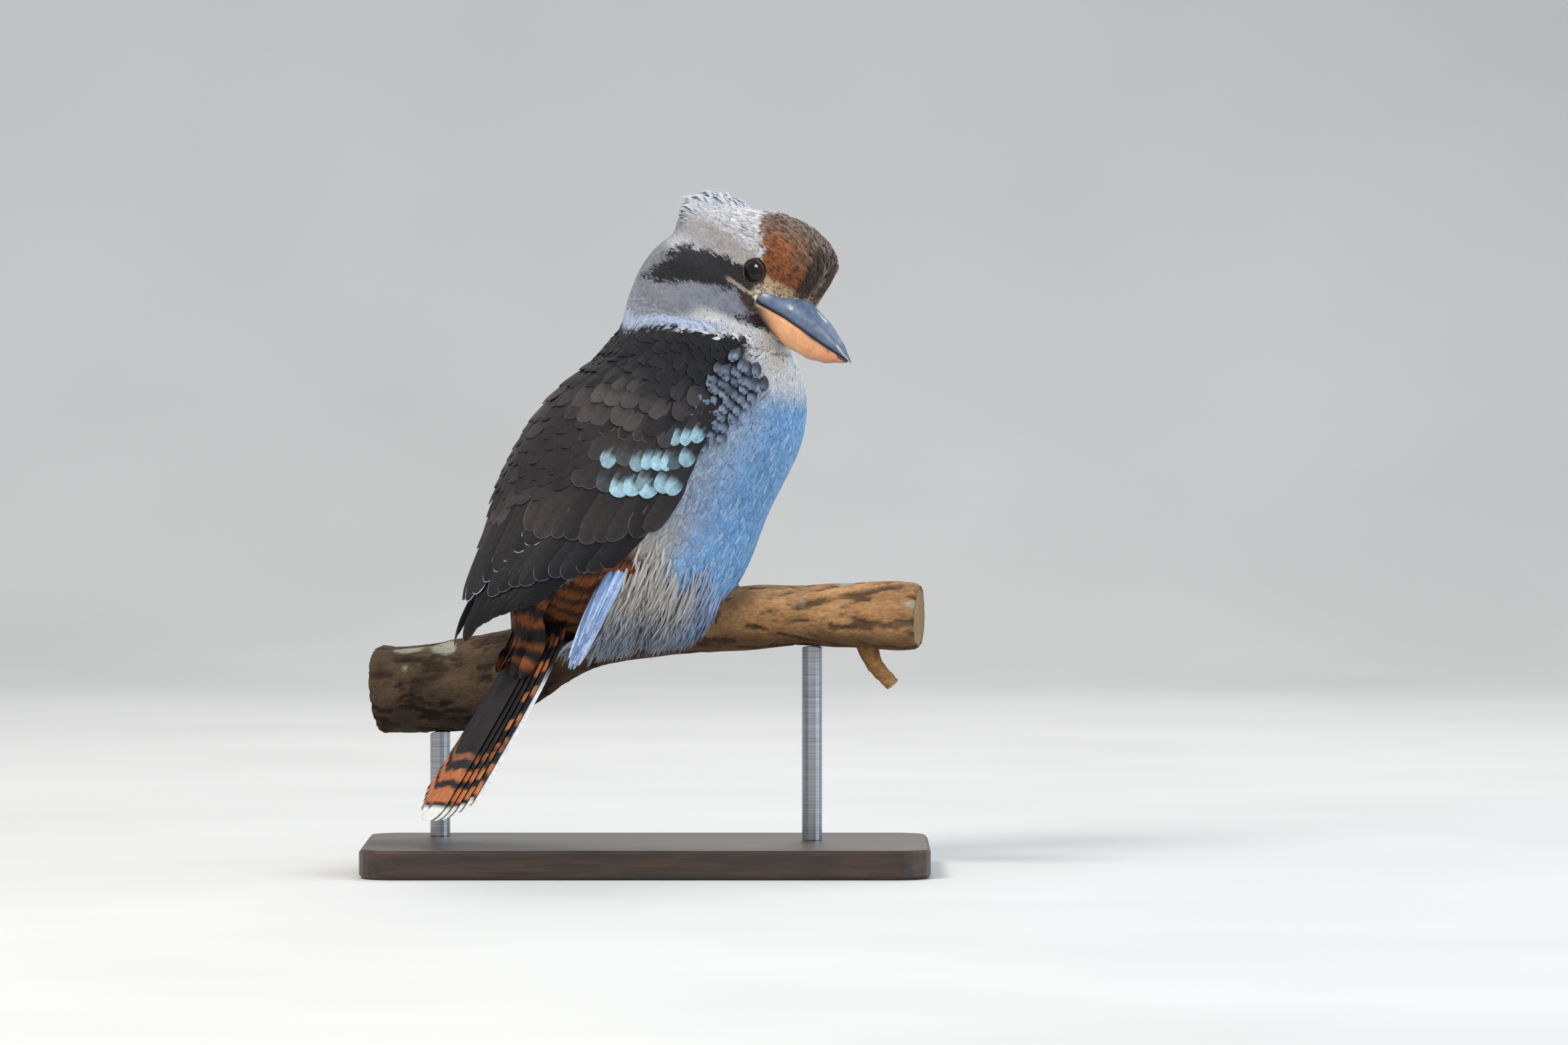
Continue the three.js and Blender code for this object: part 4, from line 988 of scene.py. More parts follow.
# A kind's darkest and lightest base, its edge's colour, width in mm and start, the share that the
# round tip takes, stations, how far tips stray, bow in degrees, rise of the inner tips, tilt, camber.
KINDS = {
    "flight": dict(dark=rgb(16, 15, 17), light=rgb(34, 31, 32), edge=rgb(98, 100, 108), rim=0.5,
                   rim_from=0.965, tip=0.12, count=16, stray=(0.003, 0.5), bow=2.0, rise=0.8,
                   tilt=0.05, camber=0.3),
    "covert": dict(dark=rgb(22, 20, 21), light=rgb(42, 37, 36), edge=rgb(82, 76, 75), rim=0.8,
                   rim_from=0.8, tip=0.2, count=9, stray=(0.006, 1.0), bow=0, rise=0, tilt=0.03,
                   camber=0.7),
}


def along_points(table, share):
    """Places at shares of the way through a table of evenly spaced ones."""
    table = np.array(table, float)
    place = share * (len(table) - 1)
    return np.stack([np.interp(place, np.arange(len(table)), table[:, i]) for i in range(2)], -1)


def arc_length(mid):
    return np.linalg.norm(np.diff(mid, axis=1), axis=-1).sum(1)


def frames_along(mid, forms):
    """Across and up for each station of feathers that lie on a mass."""
    up = unit(slope(mid, forms))
    forward = unit(np.gradient(mid, axis=1))
    across = unit(np.cross(up, forward))
    return across, np.cross(forward, across)


def rim_mask(stations, length, half, width, start):
    """1 at the edge and tip of each vane and less inwards, counted in widths of the edge."""
    inset = 1 - (1 - np.abs(LARGE_ACROSS)) * half[..., None] / (5 * width)
    tip = 1 - (1 - stations)[:, None] * length[:, None, None] / (5 * width)
    return np.maximum(inset, tip) * smooth(stations, start - 0.12, start)[:, None]


def no_rim(half):
    return np.zeros(half.shape + (1,))


def dress(name, mid, across, up, width, stations, tip, base, edge, spot, thickness, camber,
          rim=no_rim, root=0.5, replaces=()):
    """Large feathers along their middles, with a painted vane and an edge of its own colour."""
    half = width[:, None] / 2 * feather_width(stations, tip, root)
    shape = half.shape + (len(LARGE_ACROSS),)
    tint = np.broadcast_to(base, shape + (3,))
    share = np.broadcast_to(rim(half), shape)[..., None]
    edges = np.concatenate([np.broadcast_to(edge, shape + (3,)), share], -1)
    large_feathers(name, mid, across, up, half, thickness, tint, edges, spot, stations, replaces,
                   camber)


def wing_unwrap(side, mid):
    """Where a wing's feathers lie in the unwrap, each side in a half of its own."""
    s, phi = wing_place(mid[:, 0])
    return np.stack([0.02 + 0.5 * (side > 0) + 0.42 * np.clip(s, 0, 1), 0.03 + 0.42 * phi / 120], -1)


def pale_share(mid):
    """How far feathers with these middles are tipped pale, by where their tips lie."""
    tip_s, tip_phi = wing_place(mid[:, -1])
    pale = np.zeros(len(mid))
    for place_s, place_phi, strength in PALE_TIPS:
        near = np.hypot((tip_s - place_s) / 0.02, (tip_phi - place_phi) / 4.5)
        pale = np.maximum(pale, strength * (1 - smooth(near, 0.6, 1.4)))
    return pale


def per_feather(values):
    """One value a feather, to go with stations and places across."""
    return values[:, None, None, None]


def on_vane(stations):
    """Places across and along a vane, to go with values for each feather."""
    return LARGE_ACROSS[:, None], stations[:, None, None]


def tip_paint(base, pale, length, stations):
    """Paints the last millimetres of the pale-tipped feathers, ragged where the colour begins."""
    u, tt = on_vane(stations)
    left = (1 - tt) * per_feather(length)
    ragged = 0.8 * u**2 + 0.9 * np.sin(7 * u + 40 * per_feather(pale))
    tipped = per_feather(pale) * (1 - smooth(left + ragged, 5.0, 9.5))
    return lerp(base, TURQUOISE * (0.8 + 0.2 * tt), tipped)


def tier_middles(tier, kind, side, stations, draws):
    """The middles of a tier's feathers. The far wing's tip is tucked in behind the tail."""
    share = np.linspace(0, 1, tier["count"])
    root, tip = along_points(tier["root"], share), along_points(tier["tip"], share)
    tip = tip + draws.normal(0, 1, tip.shape) * kind["stray"]
    s = lerp(root[:, :1], tip[:, :1], stations)
    phi = lerp(root[:, 1:], tip[:, 1:], stations) + np.sin(np.pi * stations) * kind["bow"]
    level = lerp(tier["low"], tier["high"] + kind["rise"] * share[:, None], stations**0.9)
    if side > 0:
        out_again = smooth(s, 0.84, 0.93)
        if tier["name"] == "primaries":
            phi = phi + 26 * smooth(share, 0.3, 0.8)[:, None] * stations
            out_again = 0.8 * smooth(s, 0.7, 0.935)
        level = level - 9.0 * (smooth(s, 0.52, 0.72) * smooth(phi, 2, 30) * (1 - out_again))
    return wing_point(side, s, phi, level)


def tier_colour(tier, kind, stations, grain):
    """The base colour of a tier's vanes before their pale tips, and the colour of their edges."""
    u, tt = on_vane(stations)
    base, edge = lerp(kind["dark"], kind["light"], per_feather(grain)), kind["edge"]
    if tier["name"] == "primaries":
        base, edge = base * 0.6, rgb(50, 46, 46)
    elif tier["name"] == "tertials":
        edge = rgb(176, 188, 208)
    if tier["kind"] == "flight":
        return base + 0.008 * smooth(u, 0.1, 0.9), edge
    soft = smooth(tt, 0.5, 0.95) * (0.25 + 0.5 * np.abs(u))
    return lerp(base, rgb(66, 60, 58), soft * (0.2 + 0.8 * per_feather(grain))), edge


def build_wing(side, name):
    draws = np.random.default_rng(SEED + 5 + side)
    for tier in TIERS:
        kind = KINDS[tier["kind"]]
        stations = feather_stations(kind["count"], kind["tip"])
        mid = tier_middles(tier, kind, side, stations, draws)
        across, up = frames_along(mid, GUIDE)
        across = unit(across * side + up * kind["tilt"])
        length = arc_length(mid)
        grain = draws.random(tier["count"])
        base, edge = tier_colour(tier, kind, stations, grain)
        pale = pale_share(mid) * (tier["kind"] == "covert")
        base = tip_paint(base, pale, length, stations)
        edge = lerp(edge, TURQUOISE, per_feather(pale))

        def rim(half, kind=kind, length=length, stations=stations):
            return rim_mask(stations, length, half, kind["rim"], kind["rim_from"])

        width = tier["width"] * (1 + 0.06 * draws.normal(0, 1, tier["count"]))
        dress(f"plumes_{name}_{tier['name']}", mid, across, up, width, stations, kind["tip"], base, edge,
              wing_unwrap(side, mid), 0.3, kind["camber"], rim,
              replaces=(f"wing_{name}",) if tier is TIERS[0] else ())
    build_margin(side, name, draws)


def build_margin(side, name, draws):
    """The small scalloped feathers along the bend of the wing, grey, with a dark crescent of painted
    shadow at each tip.
    """
    rows = []
    for i in range(14):
        s = lerp(-0.01, 0.3, i / 13)
        for j in range(7 if i < 8 else 4):
            phi = wing_edge(s) + 15 - 3.9 * j + (2.0 if i % 2 else 0) - 7 * smooth(s, 0.12, 0.3)
            rows.append((s, phi))
    places = np.array(rows) + draws.normal(0, 1, (len(rows), 2)) * (0.006, 1.3)
    n = len(places)
    t = stations = feather_stations(7, 0.5)
    mid = wing_point(side, places[:, :1] + 0.045 * t, places[:, 1:] - 3 * t, lerp(-0.5, 3.4, t**0.8))
    across, up = frames_along(mid, GUIDE)
    u, tt = on_vane(stations)
    base = lerp(rgb(74, 82, 94), rgb(124, 136, 154), per_feather(draws.random(n)))
    from_tip = (1 - tt) * per_feather(arc_length(mid)) - 1.2 * (1 - u**2)
    base = lerp(base, rgb(52, 52, 60), smooth(from_tip, 1.5, 6.0) * 0.8)
    # Painted shadow: a dark crescent at each tip, for the shade under its edge.
    base = lerp(base, rgb(20, 19, 22), (1 - smooth(from_tip, -0.7, 0.2)) * 0.9)
    width = 5.6 * (1 + 0.12 * draws.normal(0, 1, n))
    dress(f"plumes_{name}_margin", mid, across * side, up, width, stations, 0.5, base, DARK,
          wing_unwrap(side, mid), 0.3, 0.5, root=0.7)


def mantle_roots(draws):
    """Staggered rows of roots: share, angle from the back's middle and share past the first row."""
    roots, past = [], -0.012
    while past < 0.5:
        step = lerp(6.0, 10.5, smooth(past, 0.0, 0.12))
        offset = step / 2 * draws.random()
        for phi in np.arange(-96 - offset, 100, step):
            s = mantle_start(abs(phi)) + past
            reach = lerp(lerp(wing_edge(s) - 6, 50, smooth(s, 0.15, 0.21)), 20, smooth(s, 0.36, 0.5))
            if abs(phi) < reach:
                roots.append((s, phi, past))
        past += lerp(0.018, 0.036, smooth(past, 0.0, 0.12))
    roots = np.array(roots)
    roots[:, :2] += draws.normal(0, 1, (len(roots), 2)) * (0.005, 1.5)
    return roots


def build_mantle():
    """Scapulars, mantle and shoulder: soft feathers in staggered rows, small in front."""
    draws = np.random.default_rng(SEED + 9)
    roots = mantle_roots(draws)
    n, past = len(roots), roots[:, 2]
    grown = smooth(past, 0.0, 0.2)
    reach = lerp(0.06, 0.17, grown) + draws.normal(0, 0.006, n)
    t = stations = feather_stations(8, 0.45)
    s = roots[:, :1] + reach[:, None] * t
    phi = roots[:, 1:2] * (1 - 0.06 * t)
    high = lerp(1.6, 5.2, smooth(past, 0.0, 0.16))[:, None] * lerp(1, 0.7, smooth(s, 0.55, 0.7))
    level = lerp(-1.2 + 2 * grown[:, None], high, t**0.9)
    mid = wing_point(np.where(phi < 0, -1, 1), s, np.abs(phi), level)
    across, up = frames_along(mid, GUIDE)
    width = lerp(7.5, 13.5, grown) * (1 + 0.08 * draws.normal(0, 1, n))
    grain = draws.random(n)
    tone = layered(mid[:, -1], 22, 31)
    shade = 0.4 * grain + 0.6 * smooth(past, 0.0, 0.16)
    # The darkest tone is faintly blue: a painted sky sheen.
    base = lerp(rgb(15, 16, 21), rgb(36, 33, 34), per_feather(shade))
    u, tt = on_vane(stations)
    soft = smooth(tt + 0.12 * np.abs(u), 0.45, 0.95) * per_feather(smooth(tone, 0.42, 0.6))
    soft = soft * per_feather(smooth(past, 0.02, 0.12))
    base = lerp(base, rgb(84, 77, 75), soft * (0.3 + 0.4 * per_feather(grain)))
    length = arc_length(mid)
    pale = pale_share(mid) * (np.abs(roots[:, 1]) > 80)
    base = tip_paint(base, pale, length, stations)
    spot = np.stack([0.5 + 0.45 * roots[:, 1] / 110, 0.05 + 0.4 * np.clip(roots[:, 0] + 0.1, 0, 1)], -1)
    edge = lerp(base, rgb(70, 65, 66), 0.6)

    def rim(half):
        return rim_mask(stations, length, half, 0.8, 0.7) * 0.88

    dress("plumes_mantle", mid, across, up, width, stations, 0.45, base, edge, spot,
          0.25, 0.9, rim, root=0.65)


TAIL_M = rotation(180, -TAIL["pitch"])


def on_tail(reach, y, lift):
    """A place at mm down the tail, mm to one side and mm above it."""
    local = np.stack(np.broadcast_arrays(reach, -np.asarray(y, float), lift), -1)
    return local @ TAIL_M.T + np.array(TAIL["at"])


# The tail's rusty bands: from and to, in mm from the tip, and strength.
TAIL_BANDS = [(11.8, 19.5, 1.0), (24.0, 30.5, 0.9), (36.5, 40.0, 0.5)]


def tail_bars(along, outer, k, side):
    """Colours of a tail feather. along is mm from the tail's root, outer runs from -1 at the inner
    edge to 1 at the outer one, and k counts the feathers from the middle pair outwards."""
    key = np.stack([along * 0.35, outer * 3, along * 0 + k * 9.0 + side], -1)
    wobble = 3.0 * (noise(key, 1.6, 14) - 0.5) + 1.6 * np.abs(outer)
    end = TAIL["length"] - along + wobble
    c = blend((18, 16, 18), (38, 33, 34), noise(key, 3.0, 3))
    rust = lerp(RUFOUS, rgb(188, 122, 80), noise(key, 2, 6)[..., None])
    for low, high, strength in TAIL_BANDS:
        band = smooth(end, low - 0.5, low + 0.5) * (1 - smooth(end, high - 0.5, high + 0.5))
        c = paint(c, rust, band * strength)
    notch = smooth(np.sin(2 * np.pi * (end - 44) / 15.0 + 0.35 * k + 2 * noise(key, 9, 8)), 0.15, 0.5)
    notched = smooth(outer, 0.4, 0.6) * (k in (3, 4) and side < 0) + (1 - smooth(along, 48, 66)) * 0.8
    c = paint(c, rust * 0.85, notch * smooth(end, 40, 44) * np.clip(notched, 0, 1))
    if k == 5 and side < 0:
        c = paint(c, rgb(214, 218, 228), smooth(outer, -0.1, 0.3) * (1 - smooth(end, 66, 84)))
    return paint(c, rgb(222, 222, 220), 1 - smooth(end, 8.6, 9.4))


def build_tail():
    """Twelve long feathers, the middle pair on top and each next pair lower and further out."""
    stations = feather_stations(120, 0.07)
    mids, acrosses, tints, spots = [], [], [], []
    for k in range(TAIL["pairs"]):
        for side in (-1, 1):
            shorter = TAIL["rounding"] * k * k
            reach = lerp(TAIL["root"], TAIL["length"] - shorter, stations)
            at_root, at_tip = [middle + each * k for middle, each in TAIL["fan"]]
            spread = lerp(at_root, at_tip, stations) * lerp(0.35, 1, smooth(reach, 15, 50))
            drop = -TAIL["step"] * k - (TAIL["step"] / 2 if side > 0 else 0)
            lift = drop + (2.0 * stations**2 - 1.0 * np.sin(np.pi * stations))
            mids.append(on_tail(reach, side * spread, lift))
            acrosses.append(unit(on_tail(reach, side * (spread + 1), lift - 0.05) - mids[-1]))
            along = np.broadcast_to(reach[:, None] + shorter, (len(reach), len(LARGE_ACROSS)))
            tints.append(tail_bars(along, np.broadcast_to(LARGE_ACROSS, along.shape), k, side))
            spots.append((0.5 + side * (0.03 + 0.06 * k), 0.02))
    mid, across, tint = np.stack(mids), np.stack(acrosses), np.stack(tints)
    sides = np.tile([-1, 1], TAIL["pairs"])[:, None, None]
    up = unit(np.cross(unit(np.gradient(mid, axis=1)), across)) * sides
    width = np.full(len(mid), TAIL["width"])
    dress("plumes_tail", mid, across, up, width, stations, 0.07, tint, RUFOUS, np.array(spots),
          0.25, 0.15, root=0.35, replaces=("tail",))


TAIL_GUIDE = BODY[:4] + [(on_tail(14, 0, -2), TAIL_M, np.array([52.0, 18, 13]))]


# The coverts above and below the tail's root: their way from it, rows from and to along the tail,
# half the span and its flat distance, added length, drift to one side, width and slope at the sides.
TAIL_COVERTS = {
    "upper": dict(way=1, rows=(-44, 42), span=36, flat=3.0, longer=0, drift=0, width=8.0, hang=0.3),
    "under": dict(way=-1, rows=(-6, 26), span=9, flat=12.5, longer=14, drift=6, width=5.5, hang=0),
}


def covert_colour(name, mid, grain):
    """Dark with rusty bars above the tail, pale below it with a painted blue cast of sky light."""
    if name == "under":
        return lerp(rgb(138, 158, 196), rgb(204, 210, 222), grain)
    place = mid[:, :, None]
    key = (place @ TAIL_M)[..., :1] + 3.0 * (noise(place * 0.5, 3, 71)[..., None] - 0.5)
    bar = smooth(np.sin(key * 0.62 + 1.2 * grain), 0.2, 0.6)
    base = lerp(rgb(24, 20, 20), rgb(42, 35, 33), grain)
    return lerp(base, RUFOUS * 0.8, bar * lerp(0.9, 0.4, smooth(place[..., 2:], -20, 25)))


def build_tail_coverts():
    """Dark barred coverts over the tail's root, and a bundle of long pale ones under it."""
    draws = np.random.default_rng(SEED + 33)
    for name, kind in TAIL_COVERTS.items():
        way, roots = kind["way"], []
        for i, reach in enumerate(np.arange(*kind["rows"], 5.0)):
            span = lerp(kind["span"], 0.56 * kind["span"], smooth(reach, *kind["rows"]))
            for y in np.arange(-span, span + 1, 5.2):
                roots.append((reach, y + (2.3 if i % 2 else 0)))
        roots = np.array(roots) + draws.normal(0, 0.9, (len(roots), 2))
        n = len(roots)
        t = stations = feather_stations(10, 0.4)
        length = 22 + 8 * draws.random(n) + kind["longer"]
        reach = roots[:, :1] + length[:, None] * t
        limit = lerp(40, 14, smooth(reach, 8, 46))
        y = np.clip(roots[:, 1:] * (1 - 0.1 * t) - kind["drift"] * t, -limit, limit)
        hang = kind["hang"] * np.maximum(np.abs(y) - 6, 0)
        flat = on_tail(reach, y, way * lerp(12.0, kind["flat"], smooth(reach, 0, 50)) - hang)
        snug = settle(on_tail(reach, y, way * 16.0), TAIL_GUIDE, lerp(0.5, 2.6, t), 4)
        mid = lerp(snug, flat, smooth(reach, 38, 58)[..., None])
        across, up = frames_along(mid, TAIL_GUIDE)
        width = kind["width"] * (1 + 0.1 * draws.normal(0, 1, n))
        base = covert_colour(name, mid, per_feather(draws.random(n)))
        spot = np.stack([0.5 + roots[:, 1] / 90, 0.3 + roots[:, 0] / 240 + 0.1 * way], -1)
        dress(f"plumes_tail_{name}", mid, across, up, width, stations, 0.4, base, WHITE, spot,
              0.3, 0.8, root=0.6)


def build_vent(side, name):
    """Long pale feathers that hang beside the tail's root, below the wing."""
    draws = np.random.default_rng(SEED + 35 + side)
    n = 64
    bends = np.array([(-58, 36, 21), (-72, 37, -6), (-83, 27, -37)]) * (1, side, 1)
    stations = feather_stations(10, 0.5)
    start = 0.42 * np.arange(n) / n
    t = start[:, None] + 0.58 * stations
    tt = t[..., None]
    line = (1 - tt) ** 2 * bends[0] + 2 * tt * (1 - tt) * bends[1] + tt**2 * bends[2]
    outward = unit(np.array([-0.5, 0.87 * side, 0.1]))
    forward = unit(np.gradient(line, axis=1))
    across = unit(np.cross(outward, forward))
    aside = draws.normal(0, 2.2, (n, 1)) * lerp(1.2, 0.6, t)
    high = lerp(3.0, 0.0, start)[:, None] - 3.0 * (1 - stations) ** 3
    mid = line + across * aside[..., None] + outward * high[..., None]
    # Pale feathers, painted blue with a cast of sky light.
    base = lerp(rgb(92, 124, 172), rgb(186, 202, 230), per_feather(draws.random(n)))
    spot = np.stack([0.5 + 0.2 * side + 0.1 * start, np.full(n, 0.9)], -1)
    dress(f"plumes_vent_{name}", mid, across, np.cross(forward, across), 2.4 + draws.random(n), stations,
          0.5, base, WHITE, spot, 0.25, 0.6)


def profile(table, t):
    """The height of a line of the bill at shares of its length, a little eased at its points."""
    xs, ys = np.array(table).T
    straight = np.interp(t, xs, ys)
    i = np.clip(np.searchsorted(xs, t, side="left"), 1, len(xs) - 1)
    f = (t - xs[i - 1]) / (xs[i] - xs[i - 1])
    eased = lerp(ys[i - 1], ys[i], smooth(f))
    return lerp(straight, eased, 0.4)


# The nostrils in the head's frame: their middle, half their size and their depth, in mm.
NOSTRIL = dict(at=np.array([31, 0, -5.4]), size=np.array([2.6, 1, 0.55]), depth=0.35)


def upper_bill_colour(q, share, peak, streaks, away):
    """Slate, its blue partly a painted reflection of the sky, darker to the tip and along the cutting
    edge, with a painted highlight on the ridge; black nostrils.
    """
    height = np.abs(q[:, 2] - BILL["mouth"])
    # Slate, whose blue is partly a painted reflection of the sky.
    c = blend((62, 76, 100), (98, 116, 144), streaks)
    c = paint(c, rgb(40, 42, 52), smooth(share, 0.7, 0.98) * 0.6)
    ragged = height + 1.6 * (layered(q, 3.0, 23) - 0.5)
    c = paint(c, rgb(24, 21, 22), 1 - smooth(ragged, 0.8, 1.7))
    # A painted highlight along the ridge.
    c = paint(c, rgb(124, 138, 158), bump(q[:, 2] - peak, 0, 1.6) * 0.4)
    return paint(c, rgb(22, 22, 26), (1 - smooth(away, 0.6, 0.95)) * (np.abs(q[:, 1]) > 3))


def lower_bill_colour(q, share, streaks):
    """Buff, with a ragged dark edge along the mouth, a grey tip and a dark root."""
    height = np.abs(q[:, 2] - BILL["mouth"])
    c = blend((204, 138, 96), (226, 172, 128), streaks)
    c = paint(c, rgb(196, 128, 96), smooth(share, 0.5, 0.9) * 0.6)
    ragged = height + 2.6 * (layered(q, 2.6, 29) - 0.5)
    c = paint(c, rgb(30, 24, 24), smooth(share, 0.4, 0.6) * (1 - smooth(ragged, 0.9, 1.8)) * 0.9)
    c = paint(c, rgb(92, 74, 68), smooth(share, 0.93, 1.0) * 0.6)
    return paint(c, rgb(52, 38, 34), (1 - smooth(share - 0.012 * height, 0.04, 0.17)) * 0.9)


def bill_half(name, table, up, tip, material):
    """One half of the bill: rings from the root to the tip, with a rolled cutting edge."""
    count, sides = 90, 48
    t = np.linspace(0, 1, count)
    x, wide, peak = lerp(BILL["root"], tip, t), bill_half_width(t), profile(table, t)
    rim = BILL["mouth"] + up * 0.12 - 0.35 * np.sin(np.pi * t) * (1 - t)
    angle = np.linspace(0, np.pi, sides // 2)
    groove = np.linspace(-1, 1, sides // 2)[1:-1]
    top = np.stack([np.broadcast_to(x[:, None], (count, len(angle))),
                    wide[:, None] * np.cos(angle) * up,
                    lerp(rim[:, None], peak[:, None], np.sin(angle) ** 0.8)], -1)
    floor = np.stack([np.broadcast_to(x[:, None], (count, len(groove))),
                      wide[:, None] * groove * up * 0.96,
                      rim[:, None] + up * 1.2 * (1 - groove**2) * np.minimum(wide[:, None] / 6, 1)], -1)
    ring = np.concatenate([top, floor], 1)
    q = ring.reshape(-1, 3)
    share, ridge = [np.repeat(values, ring.shape[1]) for values in (t, peak)]
    streaks = layered(q * np.array([0.25, 1, 1]), 1.6, 17)
    if up > 0:
        away = np.linalg.norm((q - NOSTRIL["at"]) * np.array([1, 0, 1]) / NOSTRIL["size"], axis=1)
        c = upper_bill_colour(q, share, ridge, streaks, away)
        dent = (1 - smooth(away, 0.3, 0.9)) * (np.abs(q[:, 1]) > 3)
        q = q - np.array([0, 1, 0]) * (np.sign(q[:, 1]) * dent * NOSTRIL["depth"])[:, None]
    else:
        c = lower_bill_colour(q, share, streaks)
    rings = from_head(q).reshape(1, count, -1, 3)
    add_mesh(f"{name}_horn", rings, loft(rings, fan_caps(rings.shape[2])), material, tint=c,
             replaces=(name,))


def build_eyeball(name, at, m):
    """A dark ball that bulges a little over the iris."""
    rows, sides, r = 40, 64, EYE["radius"]
    polar, turn = np.linspace(0.004, np.pi * 0.62, rows), turns(sides)
    reach = r + 0.35 * (1 - smooth(np.sin(polar) * r, 4.2, 6.0)) * (polar < 1.5)
    local = np.stack([np.broadcast_to((reach * np.cos(polar))[:, None], (rows, sides)),
                      (reach * np.sin(polar))[:, None] * np.cos(turn),
                      (reach * np.sin(polar))[:, None] * np.sin(turn)], -1)
    points = (at + local @ m.T)[None, ::-1]
    away, turn = np.broadcast_arrays((np.sin(polar) * r)[:, None], turn)
    fibres = noise(np.stack([np.cos(turn) * 6, np.sin(turn) * 6, away * 0.4], -1), 1, 3)
    c = blend((20, 9, 8), (44, 18, 15), fibres)
    c = paint(c, rgb(4, 4, 5), 1 - smooth(away, 3.6, 4.0))
    c = paint(c, rgb(12, 8, 8), smooth(away, 5.0, 5.7))
    add_mesh(f"eyeball_{name}", points, loft(points, fan_caps(sides)), WET, tint=c[None, ::-1],
             replaces=(f"eye_{name}",))


def build_lids(name, at, m):
    """A beaded rim of bare skin round the opening of the eye."""
    sides, section = 72, 12
    turn, around = turns(sides), turns(section)
    almond = 1 + 0.1 * np.abs(np.cos(turn)) ** 6
    radius = EYE["rim"] * np.stack([np.cos(turn) * almond, 0.93 * np.sin(turn)], -1)
    depth = np.sqrt(np.maximum((EYE["radius"] + 0.35) ** 2 - (radius**2).sum(-1), 1))
    fat = 0.42 + 0.12 * np.sin(turn) ** 2
    bead = 1 + 0.18 * np.sin(turn * 26)
    out = unit(np.stack([0 * turn, np.cos(turn), np.sin(turn)], -1))
    centre = np.stack([depth - 0.2, radius[:, 0], radius[:, 1]], -1)
    ring = (centre[:, None] + out[:, None] * (np.cos(around) * (fat * bead)[:, None])[..., None]
            + np.array([1, 0, 0]) * (np.sin(around) * fat[:, None] * 0.8)[..., None])
    index = np.arange(sides * section).reshape(sides, section)
    beside, ahead = np.roll(index, -1, 1), np.roll(index, -1, 0)
    quads = np.stack([index, beside, np.roll(ahead, -1, 1), ahead], -1).reshape(-1, 4)
    c = blend((40, 20, 20), (74, 36, 34), noise(ring.reshape(-1, 3), 0.8, 3))
    add_mesh(f"lids_{name}", at + ring @ m.T, quads, LID, tint=c)


def build_eye(side, name):
    at, m = eye_frame(side)
    build_eyeball(name, at, m)
    build_lids(name, at, m)


# The branch, and the feet that grip it.
def perch_y(x):
    return BIRD_AT[1] + (x - BIRD_AT[0]) * np.tan(np.radians(PERCH_YAW))


def perch_line(count):
    x, z, radii = np.array(PERCH).T
    line = centre_line(np.stack([x, perch_y(x), z], -1), count)
    return line, centre_line(radii[:, None], count)[:, 0]


def bark_material():
    material, tree, shader = new_material("bark", 0.88, specular=0.25)
    colour = painted(tree)
    fine = noise_node(tree, coordinates(tree, (0.5, 1, 1)), 700.0, 6.0, 0.7)
    broad = noise_node(tree, coordinates(tree), 60.0, 4.0)
    colour = multiply_colour(tree, colour, map_range(tree, fine, 0.62, 1.3))
    colour = multiply_colour(tree, colour, map_range(tree, broad, 0.8, 1.18))
    link(tree, colour, shader, "Base Color")
    add_relief(tree, shader, fine, 1.0, 0.0018)
    return material


BARK = bark_material()


def cut_face(centre, ring, count):
    """Rings that close a sawn end, and how far out each lies."""
    shares = np.linspace(0.9, 0.02, count)
    return centre + (ring - centre) * shares[:, None, None], shares


def bark_tint(base, rings, middle, radii, flakes, cracks):
    """Grey-brown to the left and golden tan to the right, with dark cracks and lichen, and painted shade
    on the underside.
    """
    left = blend((52, 43, 36), (112, 90, 68), flakes)
    right = blend((136, 96, 60), (208, 160, 110), flakes)
    # A share from the grey-brown left to the golden tan right.
    bare = smooth(base[..., 0] + 24 * (noise(base, 20, 5) - 0.5), -52, 8)
    tint = paint(lerp(left, right, bare[..., None]), rgb(46, 36, 30), smooth(cracks, 0.55, 0.68) * 0.75)
    # Painted shade: the branch darker on its underside.
    over = rings[..., 2] - middle
    tint = paint(tint, rgb(60, 44, 34), smooth(-over / radii, 0.1, 0.9) * 0.6)
    lichen = smooth(noise(base, 11, 77), 0.74, 0.8) * smooth(over, 2, 9)
    return paint(tint, rgb(176, 178, 160), lichen * 0.85)


